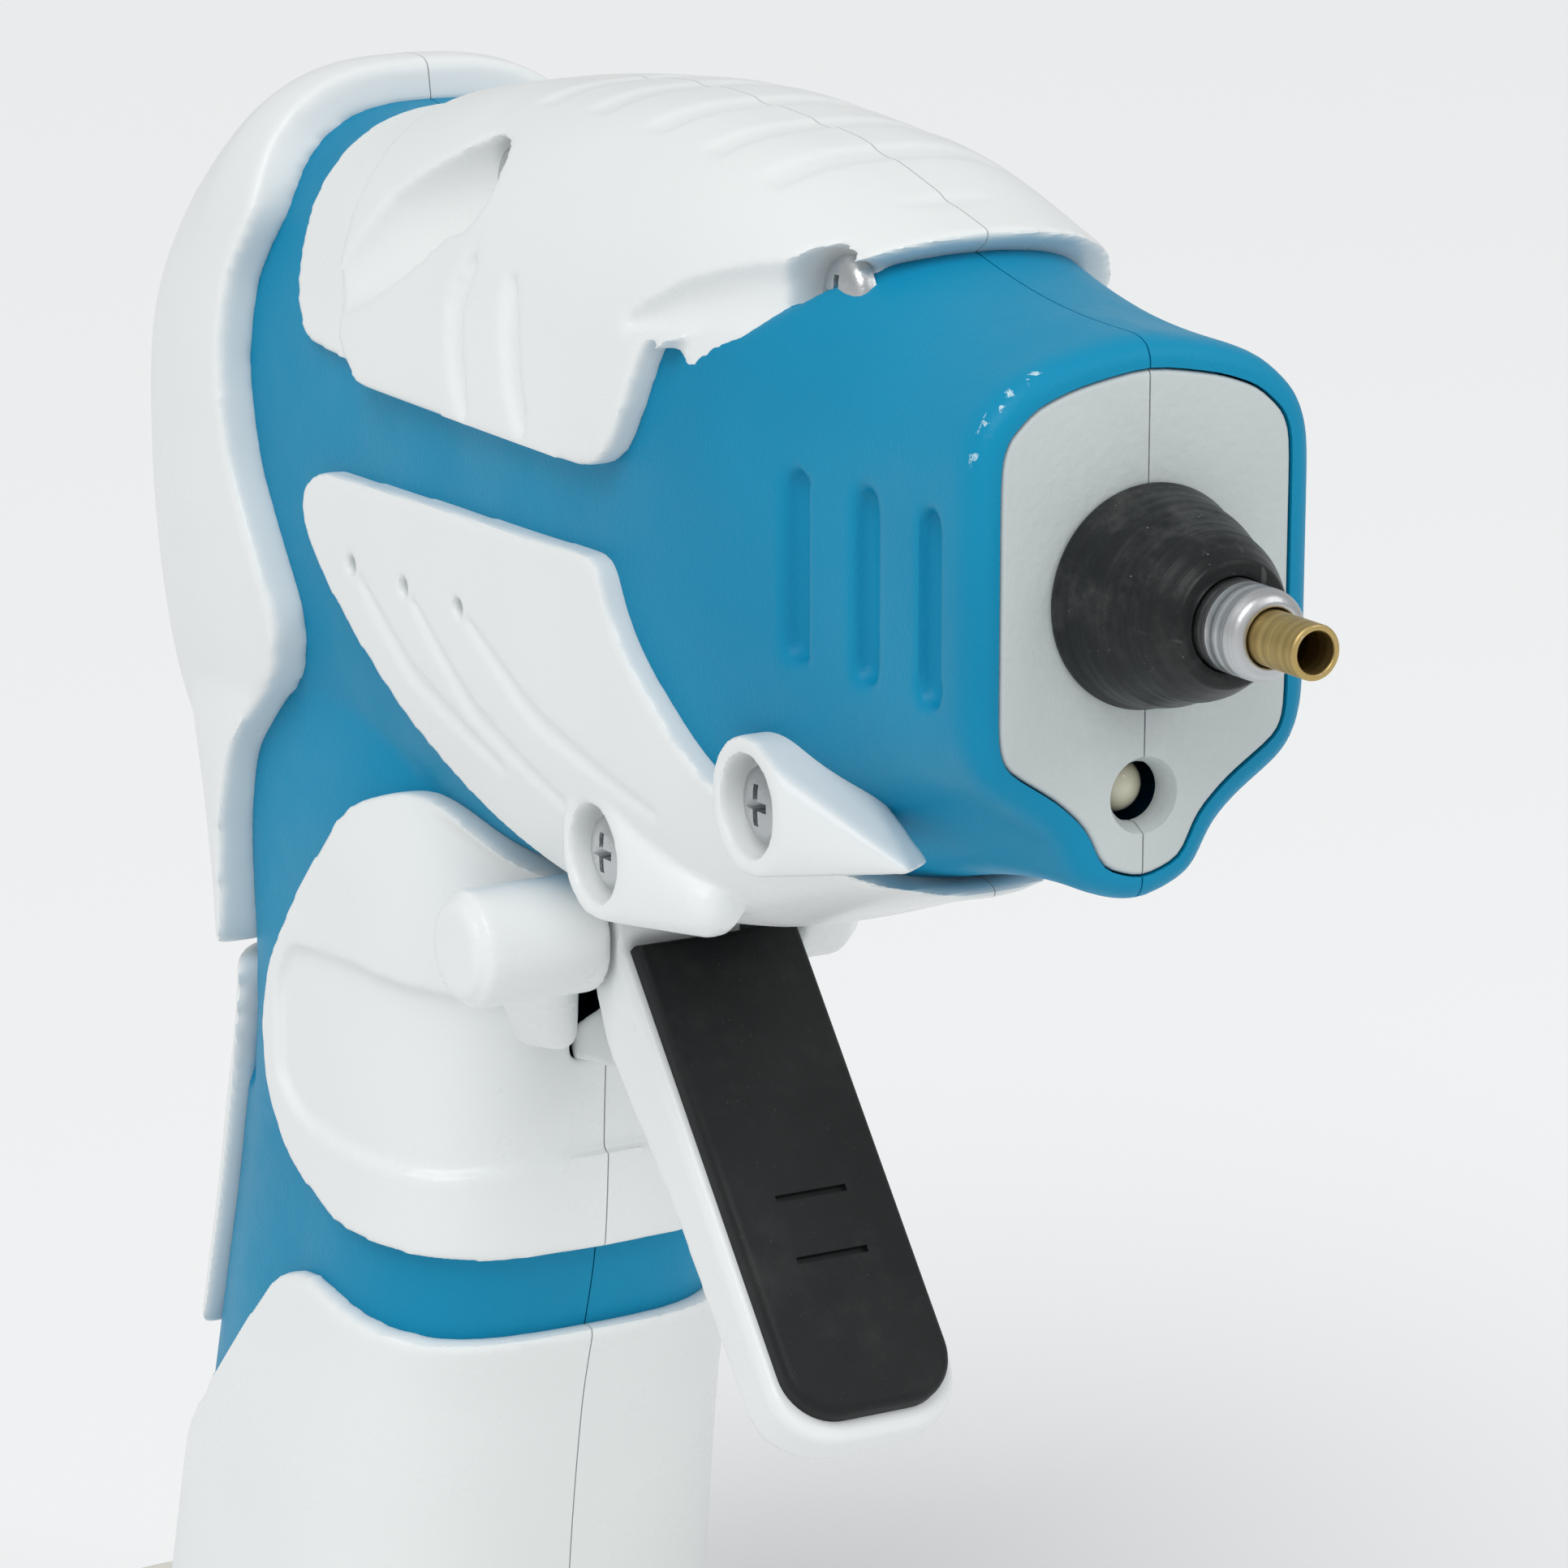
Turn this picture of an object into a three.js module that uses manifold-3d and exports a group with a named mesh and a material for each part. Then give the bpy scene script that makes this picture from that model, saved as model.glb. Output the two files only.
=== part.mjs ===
// Cordless glue gun, built as separate pieces. Millimetres, +X to the nozzle, +Z up.
// Shapes are drawn with the nozzle axis on X and the face plate at x = 0,
// then everything is moved so that the origin is the middle of the foot's underside.
import * as THREE from 'three';
import { mergeVertices } from 'three/addons/utils/BufferGeometryUtils.js';
import Module from 'manifold-3d';

const wasm = await Module();
wasm.setup();
const { Manifold, Mesh } = wasm;

// ---------- overall sizes ----------
const axis_height = 150;        // nozzle axis above the floor
const head_length = 158;        // face plate to the back of the blue body
const head_half_width = 20.5;   // blue body at its widest
const handle_half_width = 20;
// ---------- shell ----------
const wall = 2.4;               // blue shell wall
const seam = 0.3;               // gap between right and left halves
const gap = 0.3;                // gap between pieces that touch
const cover_thick = 2.2;
const collar_thick = 1.1;
const cap_thick = 3.4;
const panel_thick = 1.8;
const grip_thick = 1.6;
const sleeve_thick = 1.6;
const rib_thick = 1.6;
// ---------- nose ----------
const plate_thick = 2.2;
const rim_margin = 2.6;         // blue rim around the face plate
const rim_round = 3;
const guard_base_r = 9;
const guard_length = 12.4;
const collar_r = 3.65;
const guard_tip_wall = 1.35;
const guard_tip_r = collar_r + guard_tip_wall;
const collar_end = 17.5;
const tip_r = 2.2;
const tip_bore_r = 1.65;
const tip_end = 23.3;
const led_r = 2.3;
const led_z = -16.2;
// ---------- stick path ----------
const bore_r = 6;               // inside of the guide tube
const stick_play = 0.4;
const stick_r = bore_r - stick_play;
const tube_wall = 1.5;
// ---------- hot end ----------
const chamber_wall = 2;
const chamber_r = bore_r + chamber_wall;
const chamber_back = -57;
const chamber_front = -7;
const heater_thick = 2;
const shield_space = 2.3;       // between the heaters and the outside of the shield
const shield_r = chamber_r + 0.3 + heater_thick + shield_space;
const shield_wall = 0.6;
// ---------- feed ----------
const carriage_wall = 2;
const carriage_length = 13;
const trigger_swing = 28;       // degrees
const pivot_x = -76;
const pivot_z = -44;
const arm_length = 26;          // pivot to drive pin
const drive_pin_r = 1.5;
const pivot_pin_r = 1.8;
const pivot_boss_r = 6;
const boss_end_right = head_half_width + 1.6;
const boss_end_left = 15.3;     // the left boss stops short, inside the body's width
const run = 0.3;                // running clearance of moving pieces
// ---------- trigger ----------
const lever_half_width = 9.4;
const pad_edge = 1.1;           // white lever seen on each side of the pad
const pad_half_width = lever_half_width - pad_edge;
const pad_thick = 2;
const pad_length = 47;
const lever_thick = 6;
const lever_corner = 6;         // rounding of the lever's lower end, seen from the front
const lever_lean = 40;          // degrees forward from vertical
const spring_wire_r = 0.5;
const spring_r = pivot_pin_r + run + 1.4;   // outside of the return spring's coil
const arm_half = 2.6;
const spring_y0 = arm_half + 0.8;
const spring_y1 = lever_half_width - 2;
// ---------- foot ----------
const foot_rear = -172;
const foot_front = -72;
const foot_half_width = 27;
const foot_corner = 12;
const foot_height = 12;
const foot_wall = 2.4;
const base_thick = 2;
const pad_foot_r = 5;
const pad_foot_thick = 1.4;
// ---------- power ----------
const cell_r = 9.2;
const cell_length = 65;
const button_r = 4;
// ---------- screws ----------
const screw_head_r = 3.3;
const screw_head_thick = 1.7;
const screw_shank_r = 1.2;

const foot_centre = (foot_rear + foot_front) / 2;
const rad = THREE.MathUtils.degToRad;
const tube_r = bore_r + tube_wall;
const floor_z = -axis_height;
const foot_top = floor_z + foot_height;
const grip_line = -60;          // below this, heights follow the length of the handle
const drawn_height = 150;       // axis height that the outlines below are drawn for

// A height that was drawn for the plain handle, moved to suit the axis height.
function below(z) {
  if (z > grip_line) return z;
  return grip_line + (z - grip_line) * (axis_height + grip_line) / (drawn_height + grip_line);
}

// ---------- colours ----------
const blue = { color: 0x1c8cb4, roughness: 0.55, metalness: 0 };
const white = { color: 0xe8edee, roughness: 0.3, metalness: 0 };
const plate_grey = { color: 0xcdd4d4, roughness: 0.6, metalness: 0 };
const rubber = { color: 0x23282a, roughness: 0.8, metalness: 0 };
const soft_black = { color: 0x282d2e, roughness: 0.65, metalness: 0 };
const cream = { color: 0xe9e6da, roughness: 0.4, metalness: 0 };
const aluminium = { color: 0xb9bdc0, roughness: 0.35, metalness: 1 };
const brass = { color: 0xb08a45, roughness: 0.35, metalness: 1 };
const zinc = { color: 0xa8adb0, roughness: 0.35, metalness: 1 };
const steel = { color: 0x9aa0a4, roughness: 0.4, metalness: 1 };
const clear = { color: 0xe8e2c0, roughness: 0.15, metalness: 0 };
const ceramic = { color: 0xd9d2c4, roughness: 0.7, metalness: 0 };
const board_green = { color: 0x1f5a3a, roughness: 0.5, metalness: 0 };
const cell_wrap = { color: 0x3c6f9f, roughness: 0.4, metalness: 0 };

// ---------- helpers ----------
function solid(geometry) {
  let g = geometry.index ? geometry.toNonIndexed() : geometry.clone();
  g.deleteAttribute('normal');
  g.deleteAttribute('uv');
  g = mergeVertices(g, 1e-4);
  const made = new Manifold(new Mesh({
    numProp: 3,
    vertProperties: new Float32Array(g.attributes.position.array),
    triVerts: new Uint32Array(g.index.array),
  }));
  return made;
}

function join(list) {
  return list.reduce((sum, item) => sum.add(item));
}

function cut(base, list) {
  return list.reduce((left, item) => left.subtract(item), base);
}

// A box given by its low and high corners.
function block(x0, x1, y0, y1, z0, z1) {
  const g = new THREE.BoxGeometry(x1 - x0, y1 - y0, z1 - z0);
  g.translate((x0 + x1) / 2, (y0 + y1) / 2, (z0 + z1) / 2);
  return solid(g);
}

// A side-view outline of [x, z] points, made solid from y0 to y1.
function prism(points, y0, y1) {
  const shape = new THREE.Shape(points.map(([x, z]) => new THREE.Vector2(x, z)));
  const g = new THREE.ExtrudeGeometry(shape, { depth: y1 - y0, bevelEnabled: false });
  g.rotateX(Math.PI / 2);
  g.translate(0, y1, 0);
  return solid(g);
}

// A turned solid. Profile points are [radius, along]; direction is x, y or z.
function turned(profile, direction, segments = 18) {
  const g = new THREE.LatheGeometry(profile.map(([r, a]) => new THREE.Vector2(r, a)), segments);
  if (direction === 'x') g.rotateZ(-Math.PI / 2);
  if (direction === 'z') g.rotateX(Math.PI / 2);
  const made = solid(g);
  return made.volume() < 0 ? solid(flipped(g)) : made;
}

function flipped(geometry) {
  const g = geometry.toNonIndexed();
  const p = g.attributes.position;
  for (let i = 0; i < p.count; i += 3) {
    const a = new THREE.Vector3().fromBufferAttribute(p, i);
    const b = new THREE.Vector3().fromBufferAttribute(p, i + 1);
    p.setXYZ(i, b.x, b.y, b.z);
    p.setXYZ(i + 1, a.x, a.y, a.z);
  }
  return g;
}

function rod(r, a0, a1, direction, segments = 14) {
  return turned([[0, a0], [r, a0], [r, a1], [0, a1]], direction, segments);
}

function pipe(r, inner, a0, a1, direction, segments = 20) {
  return turned([[inner, a0], [r, a0], [r, a1], [inner, a1], [inner, a0]], direction, segments);
}

// A closed skin through rings that all have the same number of points.
function skin(rings) {
  const n = rings[0].length;
  const spots = rings.flat();
  const faces = [];
  for (let k = 0; k + 1 < rings.length; k++) {
    for (let i = 0; i < n; i++) {
      const a = k * n + i;
      const b = k * n + (i + 1) % n;
      faces.push(a, b, b + n, a, b + n, a + n);
    }
  }
  [0, rings.length - 1].forEach((k, end) => {
    const middle = rings[k].reduce((s, v) => s.add(v), new THREE.Vector3()).divideScalar(n);
    const m = spots.push(middle) - 1;
    for (let i = 0; i < n; i++) {
      const a = k * n + i;
      const b = k * n + (i + 1) % n;
      faces.push(...(end ? [a, b, m] : [b, a, m]));
    }
  });
  let size = 0;
  for (let i = 0; i < faces.length; i += 3) {
    const [a, b, c] = [spots[faces[i]], spots[faces[i + 1]], spots[faces[i + 2]]];
    size += a.dot(b.clone().cross(c));
  }
  if (size < 0) faces.reverse();
  const g = new THREE.BufferGeometry();
  g.setAttribute('position', new THREE.Float32BufferAttribute(spots.flatMap((v) => [v.x, v.y, v.z]), 3));
  g.setIndex(faces);
  return solid(g);
}

// Straight-line reading of a table of [key, ...values], with its keys rising.
function read(table, key) {
  if (key <= table[0][0]) return table[0].slice(1);
  for (let i = 1; i < table.length; i++) {
    const [lo, hi] = [table[i - 1], table[i]];
    if (key > hi[0]) continue;
    const t = (key - lo[0]) / (hi[0] - lo[0]);
    return hi.slice(1).map((v, j) => lo[j + 1] + (v - lo[j + 1]) * t);
  }
  return table[table.length - 1].slice(1);
}

function round_step(t) {
  const s = Math.min(1, Math.max(0, t));
  return s * s * (3 - 2 * s);
}

// ---------- outlines ----------
// Half outline of the face plate, [half width, z], from the top to the bottom lobe.
const face_outline = [
  [0, 18.1], [6.5, 17], [10.2, 15.7], [12.6, 13.6], [13.4, 11.6], [13.4, 4], [13.4, -4],
  [13.4, -10.8], [12.6, -12.8], [8, -15.7], [5.2, -18.3], [3.6, -21.8], [0, -23],
];

function grown_outline(amount) {
  const last = face_outline.length - 1;
  return face_outline.map(([y, z], i) => {
    const before = face_outline[i - 1] ?? [-face_outline[1][0], face_outline[1][1]];
    const after = face_outline[i + 1] ?? [-face_outline[last - 1][0], face_outline[last - 1][1]];
    const run_y = after[0] - before[0];
    const run_z = after[1] - before[1];
    const size = Math.hypot(run_y, run_z);
    return [i === 0 || i === last ? 0 : y - run_z / size * amount, z + run_y / size * amount];
  });
}

// Half outline made whole: [y, z] points all round.
function whole(half) {
  const other = half.slice(1, -1).reverse().map(([y, z]) => [-y, z]);
  return [...half, ...other];
}

// Blue body in side view: [back from the face, top, bottom, half width as a share].
const head_table = [
  [0, 21, -26, 0.77], [12, 23.4, -29, 0.83], [24, 25.6, -31.5, 0.89], [38, 27.6, -34, 0.94],
  [52, 28.8, -37, 0.98], [70, 29.8, -40, 1], [90, 28.5, -42, 1], [108, 25.6, -44, 1],
  [121, 24, -46, 1], [131, 25, -47, 0.99], [139, 21, -47, 0.94], [146, 14.7, -36, 0.83],
  [151, 9.6, -25, 0.69], [154.5, 4, -17, 0.5], [157, -2, -12, 0.28], [158, -5, -9, 0.1],
];
const nose_blend = 48;          // where the nose shape has become the plain body shape

function head_ring(back, amount) {
  const [top, bottom, share] = read(head_table, back);
  const widest = (top + bottom) / 2 + 1;
  const rim = back < rim_round ? -1.5 * (1 - Math.sqrt(1 - (1 - back / rim_round) ** 2)) : 0;
  const nose = grown_outline(rim_margin + rim + amount);
  const blend = round_step(back / nose_blend);
  const power = 0.72;
  const half = nose.map(([y, z], i) => {
    const turn = Math.PI * i / (nose.length - 1);
    const across = Math.max(0, Math.sin(turn)) ** power * (head_half_width * share + amount);
    const c = Math.cos(turn);
    const reach = c > 0 ? top - widest + amount : widest - bottom + amount;
    const up = widest + Math.sign(c) * Math.abs(c) ** power * Math.max(reach, 0.4);
    const wide = i === 0 || i === nose.length - 1 ? 0 : Math.max(across, 0.3);
    return [y + (wide - y) * blend, z + (up - z) * blend];
  });
  return whole(half);
}

const head_marks = [0, 1, 3, 24, 48, 70, 96, 121, 131, 139, 146, 152, 156, 158];

function head(amount) {
  const scale = head_length / 158;
  return skin(head_marks.map((mark) => {
    const tail = round_step((mark - 121) / 37);
    const x = -mark * scale - amount * tail;
    return head_ring(mark, amount).map(([y, z]) => new THREE.Vector3(x, y, z));
  }));
}

// Handle: [height, front, back, width as a share of the handle's].
const handle_end = foot_top - foot_wall - 0.6;
const handle_table = [
  [-14, -98, -148, 0.8], [-30, -91, -148, 0.95], [-44, -89, -143, 1], [-60, -93, -139.8, 1],
  [below(-80), -94.5, -144.8, 1], [below(-100), -100, -150.4, 1.02],
  [below(-120), -103.2, -156, 1.05], [handle_end, -105, -161.8, 1.08],
];
const handle_square = 0.62;     // 1 is an ellipse, less is squarer

function handle(amount) {
  return skin(handle_table.map(([z, front, back, share]) => {
    const middle = (front + back) / 2;
    const deep = (front - back) / 2 + amount;
    const wide = handle_half_width * share + amount;
    const ring = [];
    for (let i = 0; i < 20; i++) {
      const turn = 2 * Math.PI * i / 20;
      const c = Math.cos(turn);
      const s = Math.sin(turn);
      ring.push(new THREE.Vector3(
        middle + Math.sign(c) * Math.abs(c) ** handle_square * deep,
        Math.sign(s) * Math.abs(s) ** handle_square * wide,
        z,
      ));
    }
    return ring;
  }));
}

const made_bodies = new Map();

// The whole blue form, grown or shrunk by an amount.
function form(amount) {
  if (!made_bodies.has(amount)) made_bodies.set(amount, head(amount).add(handle(amount)));
  return made_bodies.get(amount);
}

const far = 60;
const side_box = {
  right: () => block(-260, 60, -far, -seam / 2, floor_z - 40, far),
  left: () => block(-260, 60, seam / 2, far, floor_z - 40, far),
};

// A skin piece that lies over the blue form, inside a side-view outline.
function layer(outline, thick, inner = gap) {
  const placed = outline.map(([x, z]) => [x, below(z)]);
  return form(thick + inner).subtract(form(inner)).intersect(prism(placed, -far, far));
}

// ---------- side-view outlines of the raised pieces ----------
const cover_outline = [
  [-23.5, 45], [-23.5, 24.5], [-29, 19.2], [-36, 18.6], [-41, 12.5], [-44.5, 8], [-47.5, 4.8],
  [-51.5, 3.4], [-97, 3.4], [-101, 6], [-104, 14], [-106, 45],
];
const collar_outline = [[-92, 45], [-92, 4.4], [-111, 5.2], [-114, 8.4], [-117, 17], [-121.5, 45]];
const cap_outline = [
  [-130.7, 45], [-126.5, 22], [-123.3, 15.3], [-125.9, 9.2], [-125.6, 0], [-123, -8.2], [-117, -17],
  [-113.9, -22], [-116, -27.5], [-122, -32], [-127, -37], [-130.5, -47], [-133, -59], [-175, -59], [-175, 45],
];
const spine_outline = [
  [-133.4, -60], [-136, -75], [-140.5, -90], [-145, -103], [-180, -103], [-180, -60],
];
const side_outline = [
  [-51.5, -4.2], [-80, -5], [-106, -6], [-110, -8.4], [-109.5, -12], [-103, -18], [-91, -26.5],
  [-78, -34], [-70, -38], [-66, -42], [-66, -60], [-26, -60], [-19, -30], [-13, -25.4], [-13, -23.4],
  [-24, -16.8], [-31, -13.6], [-39.4, -15.4], [-45.5, -9],
];
const grip_outline = [
  [-86, -40], [-90, -36], [-96.5, -34.8], [-104, -37.5], [-115, -49], [-121.5, -57], [-124, -63.5],
  [-122.6, -70.5], [-118, -76], [-108, -80.2], [-93.8, -81.6], [-78, -81.6], [-78, -52], [-82, -48],
];
const sleeve_outline = [
  [-80, -90.6], [-99.9, -90.6], [-108, -89], [-114.5, -87], [-120.5, -88.6], [-127, -94.5],
  [-139, -106.5], [-152, -117.5], [-152.6, -104.6], [-185, -104.6], [-185, -drawn_height], [-80, -drawn_height],
];

// ---------- screws and their seats ----------
// Each seat is where a screw goes in from the right: x, z, where its head sits, seat radius.
const screw_seats = {
  nose_screw: { x: -29.5, z: -20.9, y: -14.4, rim_r: 5.6 },
  guard_screw: { x: -57, z: -31.7, y: -14.4, rim_r: 5.6 },
  cover_screw_front: { x: -29, z: 20.4, y: -12.4, rim_r: 0 },
  cover_screw_rear: { x: -82, z: 23.2, y: -12.4, rim_r: 0 },
};
const seat_hole_r = screw_head_r + 0.6;
const post_r = screw_shank_r + 2.2;
const screw_grip = 9;           // how far each shank goes past the seam

function at_seat(piece, seat) {
  return piece.translate([seat.x, 0, seat.z]);
}

function screw(seat) {
  const face = seat.y - screw_head_thick;
  const body = turned([
    [0, face], [screw_head_r * 0.8, face + 0.1], [screw_head_r, face + 0.7], [screw_head_r, seat.y],
    [screw_shank_r, seat.y], [screw_shank_r, screw_grip - 1], [0.4, screw_grip], [0, screw_grip],
  ], 'y', 12);
  return at_seat(cut(body, cross_slot(face, 1)), seat);
}

// The crossed recess of a screw head whose face is at a place along y.
function cross_slot(face, depth) {
  return [
    block(-1.9, 1.9, face - 1, face + depth, -0.4, 0.4),
    block(-0.4, 0.4, face - 1, face + depth, -1.9, 1.9),
  ];
}

// Solid stuff added inside a housing half for each screw, and the holes taken from it.
function posts(side) {
  return Object.values(screw_seats).map((seat) => {
    const outer = seat.rim_r ? seat.rim_r + gap + 1.6 : seat_hole_r + 1.2;
    const column = side === 'right'
      ? rod(outer, -far, seat.y + 4, 'y').add(rod(post_r, seat.y, -seam / 2, 'y'))
      : rod(post_r, seam / 2, far, 'y');
    return at_seat(column, seat).intersect(form(-0.2)).intersect(side_box[side]());
  });
}

function post_holes(side) {
  return Object.values(screw_seats).flatMap((seat) => {
    if (side === 'left') return [at_seat(rod(screw_shank_r + gap, -1, screw_grip + 0.6, 'y', 8), seat)];
    const wide = seat.rim_r ? seat.rim_r + gap : seat_hole_r;
    const deep = seat.rim_r ? seat.y + 1.4 + gap : seat.y + gap;
    return [
      at_seat(rod(wide, -far, deep, 'y'), seat),
      at_seat(rod(screw_shank_r + gap, -far, 1, 'y', 8), seat),
    ];
  });
}

// The stuff that a cover or panel loses where a screw goes through it.
function seat_cuts(seat) {
  return [
    at_seat(rod(seat_hole_r, -far, seat.y + gap, 'y'), seat),
    at_seat(rod(screw_shank_r + gap, -far, 0, 'y', 8), seat),
  ];
}

// ---------- openings that the trigger moves in ----------
const pin_right = boss_end_right - 2.4;
const pin_left = boss_end_left - 2.4;
const slot_half = lever_half_width + 0.8;
const hook_half = 3;
const trigger_room = () => block(-101, -66, -slot_half, slot_half, -54, -29);
const hook_room = () => block(-112, -80, -hook_half - 1.4, hook_half + 1.4, -70, -40);
const pivot_hole = (r, y) => rod(r, -y, y, 'y').translate([pivot_x, 0, pivot_z]);

// ---------- blue housing ----------
function ribs() {
  const places = [chamber_back - 3, -103, -138];
  const plates = places.map((x) => block(x - rib_thick, x, -far, far, -16, far));
  return join(plates).intersect(form(-wall + 0.6)).subtract(rod(tube_r + gap, -175, 20, 'x'));
}

// Low collars inside the nose that hold the heat shield.
function shield_ribs() {
  const plates = [-46, -22].map((x) => block(x - rib_thick, x, -far, far, -far, far));
  return join(plates).intersect(form(-wall + 0.6)).subtract(rod(shield_r + gap, -60, 5, 'x', 24));
}

const vent_places = [-7, -16.4, -25.8];
const vent_half = 1.6;
const vent_depth = 1;

function vent_cuts() {
  const shallow = form(2).subtract(form(-vent_depth));
  const zones = vent_places.map((x) => prism([
    [x - vent_half, -7.2], [x - 0.7, -8.6], [x + 0.7, -8.6], [x + vent_half, -7.2],
    [x + vent_half, 5.8], [x + 0.7, 7.2], [x - 0.7, 7.2], [x - vent_half, 5.8],
  ], -far, far));
  return [shallow.intersect(join(zones))];
}

function housing(side) {
  const shell = form(0).subtract(form(-wall)).intersect(side_box[side]());
  const inner = join([ribs(), shield_ribs()]).intersect(side_box[side]());
  const mouth = prism_x(grown_outline(gap), -plate_thick - gap - 6, 10);
  const full = join([shell, inner, ...posts(side)]);
  return keep_largest(cut(full, [
    mouth, ...post_holes(side), ...vent_cuts(), trigger_room(), hook_room(),
    pivot_hole(pivot_boss_r + gap, far), rod(tube_r + gap, -200, -100, 'x'),
    block(-200, 0, -far, far, floor_z - 40, foot_top + gap), handle_floor(),
  ]));
}

// Opens the handle's lower end into the foot.
function handle_floor() {
  return form(-wall).intersect(block(-200, 0, -far, far, floor_z - 40, foot_top + 12));
}

// A [y, z] half outline made solid from x0 to x1.
function prism_x(half, x0, x1) {
  const shape = new THREE.Shape(whole(half).map(([y, z]) => new THREE.Vector2(y, z)));
  const g = new THREE.ExtrudeGeometry(shape, { depth: x1 - x0, bevelEnabled: false });
  g.rotateX(Math.PI / 2);
  g.rotateZ(Math.PI / 2);
  g.translate(x0, 0, 0);
  return solid(g);
}

// Slivers that a cut leaves loose are not part of the piece.
function keep_largest(piece) {
  return piece.decompose().sort((a, b) => b.volume() - a.volume())[0];
}

// ---------- raised pieces ----------
function top_cover(side) {
  const grooves = [-56, -62, -68, -74].map((x) =>
    form(cover_thick + gap + 2).subtract(form(cover_thick + gap - 0.6))
      .intersect(prism([[x, 6], [x + 1.6, 6], [x + 1.6 + 5, 45], [x + 5, 45]], -far, far)));
  const main = layer(cover_outline, cover_thick);
  const collar = layer(collar_outline, collar_thick);
  const screws = side === 'right' ? [
    ...seat_cuts(screw_seats.cover_screw_front), ...seat_cuts(screw_seats.cover_screw_rear),
  ] : [];
  return keep_largest(cut(main.add(collar).intersect(side_box[side]()), [...grooves, ...screws]));
}

function rear_cap(side) {
  const whole_cap = layer(cap_outline, cap_thick).intersect(side_box[side]());
  const dimple = rod(1.6, -far, far, 'y').translate([-140, 0, 20.6]);
  const inlet = rod(bore_r + 1, -200, -100, 'x');
  const cuts = side === 'right' ? [inlet, dimple.intersect(block(-200, 0, -far, -9, -20, 40))] : [inlet];
  return keep_largest(cut(whole_cap, cuts));
}

function spine_strip(side) {
  return keep_largest(layer(spine_outline, grip_thick).intersect(side_box[side]()));
}

// Ends of the long slanted grooves: upper x, z then lower x, z.
const panel_grooves = [[-98, -13.5, -72, -27], [-87, -13.6, -64, -26.6], [-76, -13.3, -47, -25]];

function side_panel(side) {
  const body = layer(side_outline, panel_thick).intersect(side_box[side]());
  const seats = [screw_seats.nose_screw, screw_seats.guard_screw];
  const rings = seats.map((seat) => {
    const ring = at_seat(rod(seat.rim_r, 0.9 - head_half_width, seat.y + 1.4, 'y'), seat);
    return side === 'right' ? ring : ring.mirror([0, 1, 0]).subtract(form(gap));
  });
  const grooves = panel_grooves.map(([x0, z0, x1, z1]) =>
    form(panel_thick + gap + 2).subtract(form(panel_thick + gap - 0.6))
      .intersect(prism([[x0, z0], [x0 + 2, z0 + 0.4], [x1 + 1.6, z1], [x1, z1 - 0.8]], -far, far)));
  const screws = side === 'right' ? seats.flatMap(seat_cuts) : [];
  return keep_largest(cut(join([body, ...rings]), [
    ...grooves, ...screws, trigger_room(), pivot_hole(pivot_boss_r + gap, far),
  ]));
}

// The grip panel carries one of the two bosses that hold the trigger's pivot pin.
function grip_panel(side) {
  const sign = side === 'right' ? -1 : 1;
  const near = lever_half_width + 0.5;
  const outer = side === 'right' ? boss_end_right : boss_end_left;
  const ends = [sign * near, sign * outer].sort((a, b) => a - b);
  const boss = rod(pivot_boss_r, ends[0], ends[1], 'y').translate([pivot_x, 0, pivot_z]);
  const web = prism([
    [pivot_x, pivot_z + 3.4], [pivot_x - 12, pivot_z + 2], [-93, -46], [-95, -60], [-88, -58], [pivot_x, pivot_z - 4],
  ], ends[0], ends[1]).subtract(form(gap)).intersect(form(11));
  const body = layer(grip_outline, grip_thick).intersect(side_box[side]());
  const pin_cut = rod(pivot_pin_r + gap, -pin_right - gap, pin_left + gap, 'y').translate([pivot_x, 0, pivot_z]);
  const web_room = layer(side_outline, panel_thick + gap, 0);
  return keep_largest(cut(join([body, web.subtract(web_room), boss]), [pin_cut, trigger_room(), hook_room()]));
}

function handle_sleeve(side) {
  const cuts = [block(-200, 0, -far, far, floor_z - 40, foot_top + gap)];
  return keep_largest(cut(layer(sleeve_outline, sleeve_thick).intersect(side_box[side]()), cuts));
}

// ---------- nose pieces ----------
function face_plate(side) {
  const plate = prism_x(face_outline, -plate_thick, 0).intersect(side_box[side]());
  return cut(plate, [
    rod(collar_r + 2, -9, 9, 'x'),
    rod(led_r + gap, -9, 9, 'x').translate([0, 0, led_z]),
  ]);
}

function nozzle_guard() {
  const inner = collar_r + gap;
  return turned([
    [inner, gap], [guard_base_r, gap], [guard_base_r, 1.6], [guard_base_r - 0.5, 2.4],
    [guard_base_r - 1.1, 5.4], [guard_tip_r + 1.6, 9.4], [guard_tip_r + 0.4, guard_length - 0.7],
    [guard_tip_r - 0.3, guard_length], [inner, guard_length], [inner, gap],
  ], 'x', 20);
}

function nozzle_body() {
  const bore = tip_r + gap;
  return turned([
    [bore, chamber_front - 3], [collar_r, chamber_front - 3], [collar_r, collar_end - 0.8],
    [collar_r - 0.8, collar_end], [bore, collar_end], [bore, chamber_front - 3],
  ], 'x', 20);
}

function nozzle_tip() {
  return turned([
    [tip_bore_r, 2], [tip_r, 2], [tip_r, tip_end - 0.2], [tip_r - 0.2, tip_end],
    [tip_bore_r, tip_end], [tip_bore_r, 2],
  ], 'x', 24);
}

function led_lens() {
  return turned([
    [0, -7], [led_r, -7], [led_r, -1.4], [led_r * 0.7, -0.7], [0, -0.4],
  ], 'x', 20).translate([0, 0, led_z]);
}

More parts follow.
